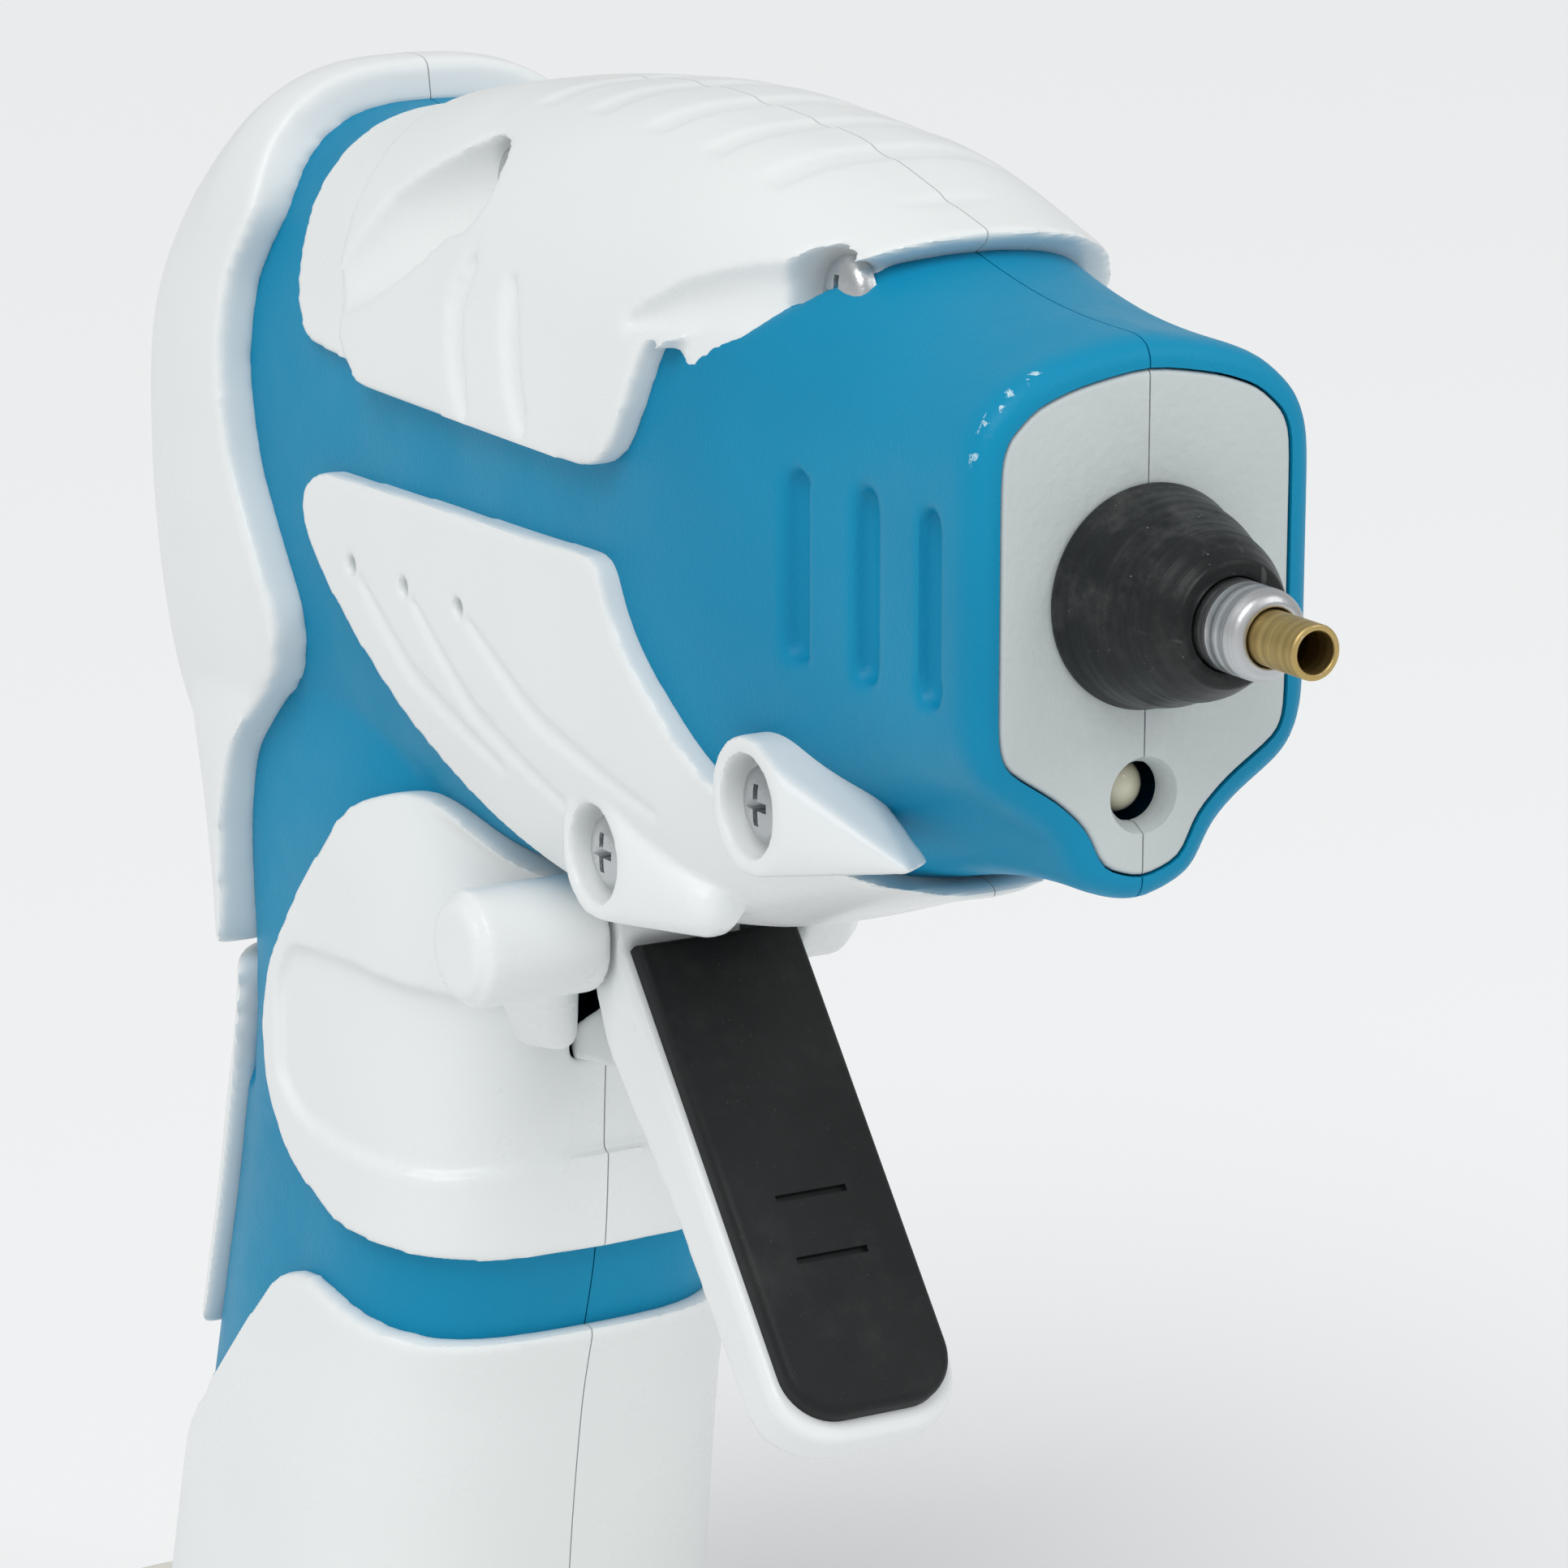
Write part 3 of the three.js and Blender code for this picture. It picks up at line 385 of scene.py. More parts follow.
def read_curve(table: Sequence[Sequence[float]], key: float) -> list[float]:
    """Reads a table of key and values along smooth curves that don't overshoot.

    Args:
        table: rows of a key and its values, with rising keys.
        key: where to read.

    Returns:
        The values there.
    """
    if key <= table[0][0]:
        return list(table[0][1:])
    if key >= table[-1][0]:
        return list(table[-1][1:])
    i = max(k for k in range(len(table) - 1) if table[k][0] <= key)
    lo, hi = table[i], table[i + 1]
    wide = hi[0] - lo[0]
    t = (key - lo[0]) / wide
    found = []
    for c in range(1, len(lo)):
        slope = (hi[c] - lo[c]) / wide
        before, after = slope, slope
        if i:
            before = (lo[c] - table[i - 1][c]) / (lo[0] - table[i - 1][0])
        if i + 2 < len(table):
            after = (table[i + 2][c] - hi[c]) / (table[i + 2][0] - hi[0])
        m0 = 0 if before * slope <= 0 else 2 * before * slope / (before + slope)
        m1 = 0 if after * slope <= 0 else 2 * after * slope / (after + slope)
        found.append((2 * t ** 3 - 3 * t ** 2 + 1) * lo[c] + (t ** 3 - 2 * t ** 2 + t) * wide * m0
                     + (3 * t ** 2 - 2 * t ** 3) * hi[c] + (t ** 3 - t ** 2) * wide * m1)
    return found


def soft_outline(points: Sequence[Point], step: float = 1.0, passes: int = 8) -> list[Point]:
    """Goes round a closed outline in even steps and rounds its corners."""
    ring = np.array(list(points) + [points[0]], float)
    lengths = np.r_[0, np.cumsum(np.hypot(*np.diff(ring, axis=0).T))]
    at = np.linspace(0, lengths[-1], int(lengths[-1] / step), endpoint=False)
    spots = np.c_[np.interp(at, lengths, ring[:, 0]), np.interp(at, lengths, ring[:, 1])]
    for _ in range(passes):
        spots = (np.roll(spots, 1, 0) + 2 * spots + np.roll(spots, -1, 0)) / 4
    return [(float(a), float(b)) for a, b in spots]


def filleted(points: Sequence[Point], radius: float) -> list[Point]:
    """Rounds each corner of a closed outline by up to a radius."""
    made: list[Point] = []
    count = len(points)
    for i, here in enumerate(points):
        p = Vector(here)
        before, after = Vector(points[i - 1]), Vector(points[(i + 1) % count])
        near = min(radius, FILLET_SHARE * (before - p).length, FILLET_SHARE * (after - p).length)
        a = p + (before - p).normalized() * near
        b = p + (after - p).normalized() * near
        for t in (0, 0.25, 0.5, 0.75, 1):
            q = a * (1 - t) ** 2 + p * 2 * t * (1 - t) + b * t * t
            made.append((q.x, q.y))
    return made


# ---------------------------------------------------------------- finishes


class Texture(Enum):
    """What the surface of a finish is like close up."""

    MOULDED = "moulded"
    TURNED = "turned"


@dataclass(frozen=True)
class Finish:
    """A material's colours, gloss and surface."""

    name: str
    colour: Colour
    deep: Colour
    gloss: tuple[float, float]
    texture: Texture = Texture.MOULDED
    metal: float = 0.0
    grain: float = 2200.0
    relief: float = 0.00003
    coat: float = 0.0
    # edge wear, and painted shade darkening the creases
    rub_and_painted_crease_shade: float = 0.0
    dust: float = 0.0
    scuffs: float = 0.0
    # turns on painted glints on the rim
    specks: bool = False
    shine: float = 0.5


class Tree:
    """A small helper for building node trees."""

    def __init__(self, tree: bpy.types.NodeTree) -> None:
        """Keeps the node tree that is built."""
        self.tree = tree

    def add(self, kind: str, inputs: Optional[dict] = None, **settings: object) -> bpy.types.Node:
        """Adds a node.

        Args:
            kind: the node's type.
            inputs: socket name or number to a value, or to a socket that feeds it.
            settings: the node's own settings.

        Returns:
            The node.
        """
        node = self.tree.nodes.new(kind)
        for key, value in settings.items():
            setattr(node, key, value)
        for key, value in (inputs or {}).items():
            if isinstance(value, bpy.types.NodeSocket):
                self.join(value, node.inputs[key])
            else:
                node.inputs[key].default_value = value
        return node

    def join(self, source: bpy.types.NodeSocket, target: bpy.types.NodeSocket) -> None:
        """Links one socket to another."""
        self.tree.links.new(source, target)

    def sum(self, operation: str, a: object, b: object = 0.0) -> bpy.types.NodeSocket:
        """A Math node's result."""
        return self.add("ShaderNodeMath", {0: a, 1: b}, operation=operation).outputs[0]

    def ramp(self, value: object, low: float, high: float, to_low: float = 0.0,
             to_high: float = 1.0) -> bpy.types.NodeSocket:
        """Spreads a range of a value smoothly over another range."""
        node = self.add("ShaderNodeMapRange", {"Value": value, "From Min": low, "From Max": high,
                                               "To Min": to_low, "To Max": to_high},
                        interpolation_type="SMOOTHSTEP")
        return node.outputs["Result"]

    def tint(self, share: object, a: object, b: object) -> bpy.types.NodeSocket:
        """A mix of two colours."""
        node = self.add("ShaderNodeMix", data_type="RGBA")
        for key, value in (("Factor", share), ("A", a), ("B", b)):
            sockets = [s for s in node.inputs if s.name == key and s.enabled]
            if isinstance(value, bpy.types.NodeSocket):
                self.join(value, sockets[0])
            elif isinstance(value, tuple):
                sockets[0].default_value = (*value, 1)
            else:
                sockets[0].default_value = value
        return next(s for s in node.outputs if s.enabled)

    def here(self) -> bpy.types.NodeSocket:
        """The place on the piece."""
        return self.add("ShaderNodeTexCoord").outputs["Object"]

    def noise(self, scale: object, detail: float = 3.0, rough: float = 0.5,
              at: Optional[bpy.types.NodeSocket] = None) -> bpy.types.NodeSocket:
        """Plain noise over the piece."""
        vector = at or self.here()
        node = self.add("ShaderNodeTexNoise", {"Vector": vector, "Scale": scale,
                                               "Detail": detail, "Roughness": rough})
        return node.outputs[0]


def new_group(title: str, inputs: Sequence[tuple[str, float]],
              outputs: Sequence[str]) -> tuple[bpy.types.NodeTree, Tree, object, object]:
    """Starts a shared node group.

    Args:
        title: the group's name.
        inputs: names and starting values.
        outputs: names of what it puts out.

    Returns:
        The group, a helper for it, its input node and its output node.
    """
    group = bpy.data.node_groups.new(title, "ShaderNodeTree")
    for name, value in inputs:
        socket = group.interface.new_socket(name, in_out="INPUT", socket_type="NodeSocketFloat")
        socket.default_value = value
    for name in outputs:
        group.interface.new_socket(name, in_out="OUTPUT", socket_type="NodeSocketFloat")
    tree = Tree(group)
    return group, tree, tree.add("NodeGroupInput"), tree.add("NodeGroupOutput")


def grain_group() -> bpy.types.NodeTree:
    """Fine moulded grain, with slow changes of gloss and shade."""
    group, t, given, out = new_group("Moulded grain", [("Grain", 2200.0), ("Patch", 45.0)],
                                     ["Height", "Gloss", "Shade"])
    fine = t.noise(given.outputs["Grain"], 3.0, 0.6)
    cells = t.add("ShaderNodeTexVoronoi", {"Vector": t.here(), "Scale": given.outputs["Grain"]},
                  feature="SMOOTH_F1")
    both = t.sum("MULTIPLY_ADD", cells.outputs["Distance"], 0.6)
    t.join(fine, both.node.inputs[2])
    t.join(both, out.inputs["Height"])
    patch = t.noise(given.outputs["Patch"], 5.0, 0.6)
    t.join(t.ramp(patch, 0.3, 0.7), out.inputs["Gloss"])
    shade = t.noise(t.sum("MULTIPLY", given.outputs["Patch"], 0.45), 2.0)
    t.join(t.ramp(shade, 0.3, 0.7), out.inputs["Shade"])
    return group


def rub_and_painted_crease_shade_group() -> bpy.types.NodeTree:
    """Edges rubbed by handling, and painted shade that darkens the creases."""
    group, t, given, out = new_group("Edge rub and painted crease shade", [("Amount", 0.5)], ["Edge", "Crease"])
    bent = t.add("ShaderNodeNewGeometry").outputs["Pointiness"]
    broken = t.noise(700.0, 4.0, 0.65)
    edge = t.sum("MULTIPLY", t.ramp(bent, 0.52, 0.6), t.ramp(broken, 0.42, 0.62))
    t.join(t.sum("MULTIPLY", edge, given.outputs["Amount"]), out.inputs["Edge"])
    # painted shade: concave creases are darkened
    crease = t.sum("MULTIPLY", t.ramp(bent, 0.485, 0.44), t.ramp(broken, 0.25, 0.6))
    t.join(t.sum("MULTIPLY", crease, given.outputs["Amount"]), out.inputs["Crease"])
    return group


def scuff_group() -> bpy.types.NodeTree:
    """Thin scratches in two directions."""
    group, t, given, out = new_group("Scuffs", [("Amount", 0.5)], ["Mask"])
    masks = []
    for turn, stretch in ((0.5, (900.0, 900.0, 30.0)), (-0.7, (40.0, 1100.0, 1100.0))):
        mapped = t.add("ShaderNodeMapping", {"Vector": t.here(), "Rotation": (turn, turn, 0.3),
                                             "Scale": stretch})
        lines = t.noise(1.0, 2.0, 0.5, mapped.outputs[0])
        where = t.ramp(t.noise(110.0), 0.52, 0.66)
        masks.append(t.sum("MULTIPLY", t.ramp(lines, 0.66, 0.72), where))
    both = t.sum("MAXIMUM", masks[0], masks[1])
    t.join(t.sum("MULTIPLY", both, given.outputs["Amount"]), out.inputs["Mask"])
    return group


def dust_group() -> bpy.types.NodeTree:
    """Pale dust specks, thicker on faces that look up."""
    group, t, given, out = new_group("Settled dust", [("Amount", 0.5)], ["Mask"])
    up = t.add("ShaderNodeSeparateXYZ",
               {0: t.add("ShaderNodeTexCoord").outputs["Normal"]}).outputs[2]
    cells = t.add("ShaderNodeTexVoronoi", {"Vector": t.here(), "Scale": 1500.0})
    specks = t.ramp(cells.outputs["Distance"], 0.16, 0.07)
    chosen = t.ramp(t.noise(420.0, 2.0), 0.53, 0.62)
    film = t.sum("MULTIPLY", t.ramp(t.noise(160.0, 5.0, 0.7), 0.45, 0.8), 0.35)
    total = t.sum("MAXIMUM", t.sum("MULTIPLY", specks, chosen), film)
    lit = t.sum("MULTIPLY", total, t.ramp(up, -0.6, 0.7, 0.35, 1.0))
    t.join(t.sum("MULTIPLY", lit, given.outputs["Amount"]), out.inputs["Mask"])
    return group


def turned_group() -> bpy.types.NodeTree:
    """Fine rings that a lathe leaves round the nozzle axis."""
    group, t, given, out = new_group("Turned rings", [("Rings", 5200.0), ("Wander", 0.00006)],
                                     ["Height", "Shade"])
    x = t.add("ShaderNodeSeparateXYZ", {0: t.here()}).outputs[0]
    wander = t.sum("MULTIPLY", t.noise(260.0, 2.0), given.outputs["Wander"])
    along = t.sum("MULTIPLY", t.sum("ADD", x, wander), given.outputs["Rings"])
    waves = t.sum("MULTIPLY_ADD", t.sum("SINE", along), 0.5)
    waves.node.inputs[2].default_value = 0.5
    band = t.add("ShaderNodeTexNoise", {"W": along, "Scale": 0.35, "Detail": 3.0},
                 noise_dimensions="1D").outputs[0]
    t.join(t.sum("MULTIPLY", waves, band), out.inputs["Height"])
    t.join(t.ramp(band, 0.35, 0.65), out.inputs["Shade"])
    return group


def painted_glint_group() -> bpy.types.NodeTree:
    """Painted glints: pale specks of painted highlight on the rim round the face, near one place.
    """
    group, t, given, out = new_group(
        "Painted glints", [("X", 0.0), ("Y", 0.0), ("Z", 0.0), ("Reach", 0.006)], ["Mask"])
    middle = t.add("ShaderNodeCombineXYZ", {i: given.outputs[i] for i in range(3)})
    apart = t.add("ShaderNodeVectorMath", {0: t.here(), 1: middle.outputs[0]},
                  operation="DISTANCE").outputs["Value"]
    near = t.ramp(t.sum("DIVIDE", apart, given.outputs["Reach"]), 1.0, 0.5)
    x = t.add("ShaderNodeSeparateXYZ", {0: t.here()}).outputs[0]
    off_rim = t.sum("ABSOLUTE", t.sum("SUBTRACT", x, given.outputs["X"]))
    rim = t.ramp(off_rim, 0.0011, 0.0001)
    clumps = t.ramp(t.noise(900.0, 2.0), 0.42, 0.6)
    fine = t.noise(8200.0, 3.0, 0.7)
    both = t.sum("MULTIPLY", t.sum("MULTIPLY", near, rim), t.sum("MULTIPLY", clumps, fine))
    t.join(t.ramp(both, 0.33, 0.52), out.inputs["Mask"])
    return group


class PaintShop:
    """Builds each material once, from the shared node groups."""

    def __init__(self) -> None:
        """Builds the shared groups."""
        self.groups = {"grain": grain_group(), "rub_and_painted_crease_shade": rub_and_painted_crease_shade_group(), "scuffs": scuff_group(),
                       "dust": dust_group(), "turned": turned_group(), "specks": painted_glint_group()}
        self.made: dict[str, bpy.types.Material] = {}

    def use(self, tree: Tree, name: str, **values: float) -> bpy.types.Node:
        """Places a shared group in a material with its own values."""
        node = tree.add("ShaderNodeGroup")
        node.node_tree = self.groups[name]
        for key, value in values.items():
            node.inputs[key].default_value = value
        return node

    def surface(self, t: Tree, finish: Finish) -> tuple[object, object, object]:
        """The height, gloss and shade that vary over a finish's surface."""
        grain = self.use(t, "grain", Grain=finish.grain, Patch=PATCH_SCALE)
        height, gloss, shade = (grain.outputs[k] for k in ("Height", "Gloss", "Shade"))
        if finish.texture is Texture.TURNED:
            rings = self.use(t, "turned")
            height = t.sum("MULTIPLY_ADD", height, 0.25)
            t.join(rings.outputs["Height"], height.node.inputs[2])
            shade = t.sum("MULTIPLY_ADD", rings.outputs["Shade"], 0.6)
            t.join(t.sum("MULTIPLY", grain.outputs["Shade"], 0.4), shade.node.inputs[2])
        return height, gloss, shade

    def material(self, finish: Finish) -> bpy.types.Material:
        """Makes a finish's material, or gives the one already made.

        Args:
            finish: the finish.

        Returns:
            The material.
        """
        if finish.name in self.made:
            return self.made[finish.name]
        made = bpy.data.materials.new(finish.name)
        made.use_nodes = True
        made.node_tree.nodes.clear()
        t = Tree(made.node_tree)
        shader = t.add("ShaderNodeBsdfPrincipled", {
            "Metallic": finish.metal, "Coat Weight": finish.coat, "IOR": PLASTIC_IOR,
            "Specular IOR Level": finish.shine})
        height, gloss, shade = self.surface(t, finish)
        colour = t.tint(shade, finish.colour, finish.deep)
        rough = t.ramp(gloss, 0.0, 1.0, *finish.gloss)
        pale = tuple(min(1.0, c * 0.5 + 0.42) for c in finish.colour)
        # rubbed edges turn pale (wear); creases darken with painted shade
        if finish.rub_and_painted_crease_shade:
            rub_and_painted_crease_shade = self.use(t, "rub_and_painted_crease_shade", Amount=finish.rub_and_painted_crease_shade)
            colour = t.tint(rub_and_painted_crease_shade.outputs["Edge"], colour, pale)
            # the painted shade colour that darkens the creases
            painted_crease_shade = tuple(c * PAINTED_SHADE_SHARE for c in finish.deep)
            colour = t.tint(rub_and_painted_crease_shade.outputs["Crease"], colour, painted_crease_shade)
            rough = t.sum("MULTIPLY_ADD", rub_and_painted_crease_shade.outputs["Edge"], -0.12)
            t.join(t.ramp(gloss, 0.0, 1.0, *finish.gloss), rough.node.inputs[2])
        if finish.scuffs:
            scuff = self.use(t, "scuffs", Amount=finish.scuffs).outputs["Mask"]
            colour = t.tint(scuff, colour, pale)
            height = t.sum("SUBTRACT", height, scuff)
        if finish.dust:
            dust = self.use(t, "dust", Amount=finish.dust).outputs["Mask"]
            colour = t.tint(dust, colour, DUST_COLOUR)
            rough = t.sum("ADD", rough, t.sum("MULTIPLY", dust, 0.3))
        # painted glints: pale specks of painted highlight on the blue rim near the face
        if finish.specks:
            x, y, z = (Vector(PAINTED_GLINTS_AT) + TO_ROW) * MM
            painted_glint_mask = self.use(t, "specks", X=x, Y=y, Z=z, Reach=PAINTED_GLINTS_REACH).outputs["Mask"]
            colour = t.tint(painted_glint_mask, colour, PAINTED_GLINT_COLOUR)
        t.join(colour, shader.inputs["Base Color"])
        t.join(rough, shader.inputs["Roughness"])
        bump = t.add("ShaderNodeBump", {"Height": height, "Strength": 1.0,
                                        "Distance": finish.relief})
        t.join(bump.outputs["Normal"], shader.inputs["Normal"])
        out = t.add("ShaderNodeOutputMaterial")
        t.join(shader.outputs[0], out.inputs[0])
        made.diffuse_color = (*finish.colour, 1)
        self.made[finish.name] = made
        return made


# the blue's specks are painted glints on its rim
BLUE = Finish("blue_shell_plastic", (0.001, 0.262, 0.462), (0.001, 0.226, 0.410),
              (0.38, 0.50), grain=2600.0, relief=0.00004, specks=True, shine=0.2)
WHITE = Finish("white_shell_plastic", (0.825, 0.85, 0.845), (0.795, 0.82, 0.818),
               (0.26, 0.36), grain=1500.0, relief=0.000006, shine=0.4)
PLATE = Finish("face_plate_plastic", (0.555, 0.605, 0.605), (0.52, 0.57, 0.57),
               (0.55, 0.68), grain=1300.0, relief=0.00005, rub_and_painted_crease_shade=0.12)
CONE = Finish("guard_rubber", (0.0060, 0.0075, 0.0080), (0.011, 0.013, 0.014), (0.32, 0.5),
              Texture.TURNED, relief=0.00007, dust=0.28, scuffs=0.12, shine=0.3)
COLLAR = Finish("collar_aluminium", (0.60, 0.61, 0.62), (0.42, 0.43, 0.44), (0.22, 0.42),
                Texture.TURNED, metal=1.0, relief=0.00007, scuffs=0.6, dust=0.2)
BRASS = Finish("nozzle_brass", (0.54, 0.40, 0.165), (0.36, 0.26, 0.10), (0.3, 0.48),
               Texture.TURNED, metal=1.0, relief=0.00003, rub_and_painted_crease_shade=0.4, scuffs=0.25)
LENS = Finish("led_clear", (0.80, 0.77, 0.60), (0.72, 0.68, 0.5), (0.08, 0.16),
              relief=0.000004, coat=0.6)
PAD = Finish("trigger_pad_soft", (0.0085, 0.0105, 0.011), (0.0115, 0.0135, 0.014),
             (0.5, 0.62), grain=3000.0, relief=0.00003, dust=0.05, shine=0.25)
ZINC = Finish("screw_zinc", (0.58, 0.60, 0.61), (0.36, 0.38, 0.39), (0.2, 0.42),
              metal=1.0, grain=1600.0, relief=0.00005, rub_and_painted_crease_shade=0.5)
STEEL = Finish("steel", (0.42, 0.44, 0.45), (0.34, 0.35, 0.36), (0.28, 0.42),
               metal=1.0, relief=0.00001)
FOOT = Finish("foot_plastic", (0.74, 0.73, 0.66), (0.69, 0.68, 0.61), (0.34, 0.46),
              grain=1500.0, relief=0.00001, rub_and_painted_crease_shade=0.12)
RUBBER = Finish("foot_rubber", (0.0165, 0.0195, 0.020), (0.024, 0.026, 0.026), (0.62, 0.75),
                grain=1600.0, relief=0.00003, dust=0.3)
CREAM = Finish("tube_plastic", (0.74, 0.72, 0.64), (0.68, 0.66, 0.58), (0.4, 0.52))
DARK = Finish("carriage_plastic", (0.0165, 0.0195, 0.020), (0.022, 0.024, 0.025), (0.4, 0.52))
CERAMIC = Finish("heater_ceramic", (0.68, 0.62, 0.52), (0.6, 0.54, 0.45), (0.6, 0.75))
BOARD = Finish("board_green", (0.012, 0.10, 0.045), (0.01, 0.08, 0.035), (0.3, 0.42))
WRAP = Finish("cell_wrap", (0.045, 0.16, 0.34), (0.04, 0.14, 0.30), (0.25, 0.36))


# ---------------------------------------------------------------- the workshop


@dataclass
class Dress:
    """Where a finished piece belongs and what it looks like."""

    name: str
    finish: Finish
    slot: str
    node: str
    body: str = "gun"


class Workshop:
    """Turns solids into finished pieces on the frame."""

    def __init__(self, shop: PaintShop) -> None:
        """Keeps the paint shop."""
        self.shop = shop

    def place(self, solid: Solid, dress: Dress) -> bpy.types.Object:
        """Puts a finished piece on the frame.

        Args:
            solid: its shape in millimetres.
            dress: its name, finish, slot, CAD node and body.

        Returns:
            The piece.
        """
        bm = bmesh.new()
        bm.from_mesh(solid.mesh)
        bmesh.ops.dissolve_degenerate(bm, dist=1e-4, edges=bm.edges[:])
        bmesh.ops.triangulate(bm, faces=[f for f in bm.faces if len(f.verts) > 4])
        bmesh.ops.translate(bm, vec=TO_ROW, verts=bm.verts[:])
        bmesh.ops.scale(bm, vec=(MM, MM, MM), verts=bm.verts[:])
        mesh = bpy.data.meshes.new(dress.name)
        bm.to_mesh(mesh)
        bm.free()
        mesh.shade_smooth()
        mesh.set_sharp_from_angle(angle=CRISP_ANGLE)
        mesh.materials.clear()
        mesh.materials.append(self.shop.material(dress.finish))
        piece = bpy.data.objects.new(dress.name, mesh)
        bpy.context.scene.collection.objects.link(piece)
        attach(piece, dress.body)
        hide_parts(dress.node)
        low, high = Vector(piece.bound_box[0]), Vector(piece.bound_box[6])
        sides = sum(len(p.vertices) - 2 for p in mesh.polygons)
        LOG.info("%s: %d triangles, %.1f x %.1f x %.1f mm", dress.name, sides,
                 *[(b - a) / MM for a, b in zip(low, high)])
        return piece


# ---------------------------------------------------------------- the body form


@dataclass
class BodyForm:
    """The blue body that every raised piece follows, grown or shrunk by an amount."""

    half_width: float = 20.5
    handle_half: float = 20.0
    nose_blend: float = 48.0
    rim_margin: float = 2.6
    rim_round: float = 3.0
    squareness: float = 0.72
    handle_square: float = 0.62
    steps: int = 96
    crease_turns: tuple[float, ...] = (0, 84, 97, 180)
    fill_depth: float = 0.4
    fill_grid: float = 1.6
    fill_passes: int = 14

    face = ((0, 18.1), (6.5, 17), (10.2, 15.7), (12.6, 13.6), (13.4, 11.6), (13.4, 4),
            (13.4, -4), (13.4, -10.8), (12.6, -12.8), (8, -15.7), (5.2, -18.3),
            (3.6, -21.8), (0, -23))
    # Back from the face plate, top, bottom, half width as a share.
    head_rows = ((0, 21, -26, .77), (12, 23.4, -29, .83), (24, 25.6, -31.5, .89),
                 (38, 27.6, -34, .94), (52, 28.8, -37, .98), (70, 29.8, -40, 1),
                 (90, 28.5, -42, 1), (108, 25.6, -44, 1), (121, 24, -46, 1),
                 (131, 25, -47, .99), (139, 21, -47, .94), (146, 14.7, -36, .83),
                 (151, 9.6, -25, .69), (154.5, 4, -17, .5), (157, -2, -12, .28),
                 (158, -5, -9, .1))
    # Height, front, back, half width as a share; heights rise.
    handle_rows = ((-141, -105, -161.8, 1.08), (-120, -103.2, -156, 1.05),
                   (-100, -100, -150.4, 1.02), (-80, -94.5, -144.8, 1),
                   (-60, -93, -139.8, 1), (-44, -89, -143, 1), (-30, -91, -148, .95),
                   (-14, -98, -148, .8))

    def __post_init__(self) -> None:
        """Starts with no forms made."""
        self.made: dict[tuple, Solid] = {}

    def grown_face(self, amount: float) -> list[Point]:
        """The face plate's half outline, grown by an amount."""
        rows = self.face
        found = []
        for i, (y, z) in enumerate(rows):
            before = rows[i - 1] if i else (-rows[1][0], rows[1][1])
            after = rows[i + 1] if i + 1 < len(rows) else (-rows[-2][0], rows[-2][1])
            dy, dz = after[0] - before[0], after[1] - before[1]
            size = math.hypot(dy, dz)
            edge = i in (0, len(rows) - 1)
            found.append((0.0 if edge else y - dz / size * amount, z + dy / size * amount))
        return found

    def face_ring(self, amount: float) -> np.ndarray:
        """The whole face outline in even steps, its corners a little rounded."""
        half = self.grown_face(amount)
        ring = np.array(half + [(-y, z) for y, z in half[-2:0:-1]] + [half[0]])
        at = np.arange(self.steps) * (len(ring) - 1) / self.steps
        spots = np.c_[np.interp(at, np.arange(len(ring)), ring[:, 0]),
                      np.interp(at, np.arange(len(ring)), ring[:, 1])]
        for _ in range(2):
            spots = (np.roll(spots, 1, 0) + 2 * spots + np.roll(spots, -1, 0)) / 4
        return spots

    def spread(self) -> np.ndarray:
        """The angle of each ring point, drawn together where the flank's creases meet."""
        share = np.arange(self.steps) / self.steps * 24
        half = np.interp(np.minimum(share, 24 - share), [0, 4, 7, 12], self.crease_turns)
        return np.radians(np.where(share <= 12, half, 360 - half))

    def head_ring(self, back: float, amount: float) -> list[Spot]:
        """One ring of the head, a distance behind the face."""
        top, bottom, share = read_curve(self.head_rows, back)
        widest = (top + bottom) / 2 + 1
        rim = 0.0
        if back < self.rim_round:
            rim = -1.5 * (1 - math.sqrt(1 - (1 - back / self.rim_round) ** 2))
        nose = self.face_ring(self.rim_margin + rim + amount)
        blend = round_step(back / self.nose_blend)
        turn = self.spread()
        s, c = np.sin(turn), np.cos(turn)
        across = np.sign(s) * np.abs(s) ** self.squareness * (self.half_width * share + amount)
        reach = np.where(c > 0, top - widest + amount, widest - bottom + amount)
        up = widest + np.sign(c) * np.abs(c) ** self.squareness * np.maximum(reach, 0.4)
        y = nose[:, 0] + (across - nose[:, 0]) * blend
        z = nose[:, 1] + (up - nose[:, 1]) * blend
        x = -back - amount * round_step((back - 121) / 37)
        return [(x, float(a), float(b)) for a, b in zip(y, z)]

    def head(self, amount: float) -> Solid:
        """The head alone."""
        marks = [0, 0.25, 0.6, 1.1, 1.7, 2.4, 3] + list(np.arange(5, 138, 2.5))
        marks += list(np.arange(138, 157.6, 0.8)) + [158]
        return loft([self.head_ring(float(m), amount) for m in marks])

    def handle(self, amount: float) -> Solid:
        """The handle alone."""
        rings = []
        turn = 2 * np.pi * np.arange(self.steps) / self.steps
        c, s = np.cos(turn), np.sin(turn)
        for z in np.linspace(-141, -14, 48):
            front, back, share = read_curve(self.handle_rows, float(z))
            deep = (front - back) / 2 + amount
            wide = self.handle_half * share + amount
            x = (front + back) / 2 + np.sign(c) * np.abs(c) ** self.handle_square * deep
            y = np.sign(s) * np.abs(s) ** self.handle_square * wide
            rings.append([(float(a), float(b), float(z)) for a, b in zip(x, y)])
        return loft(rings)

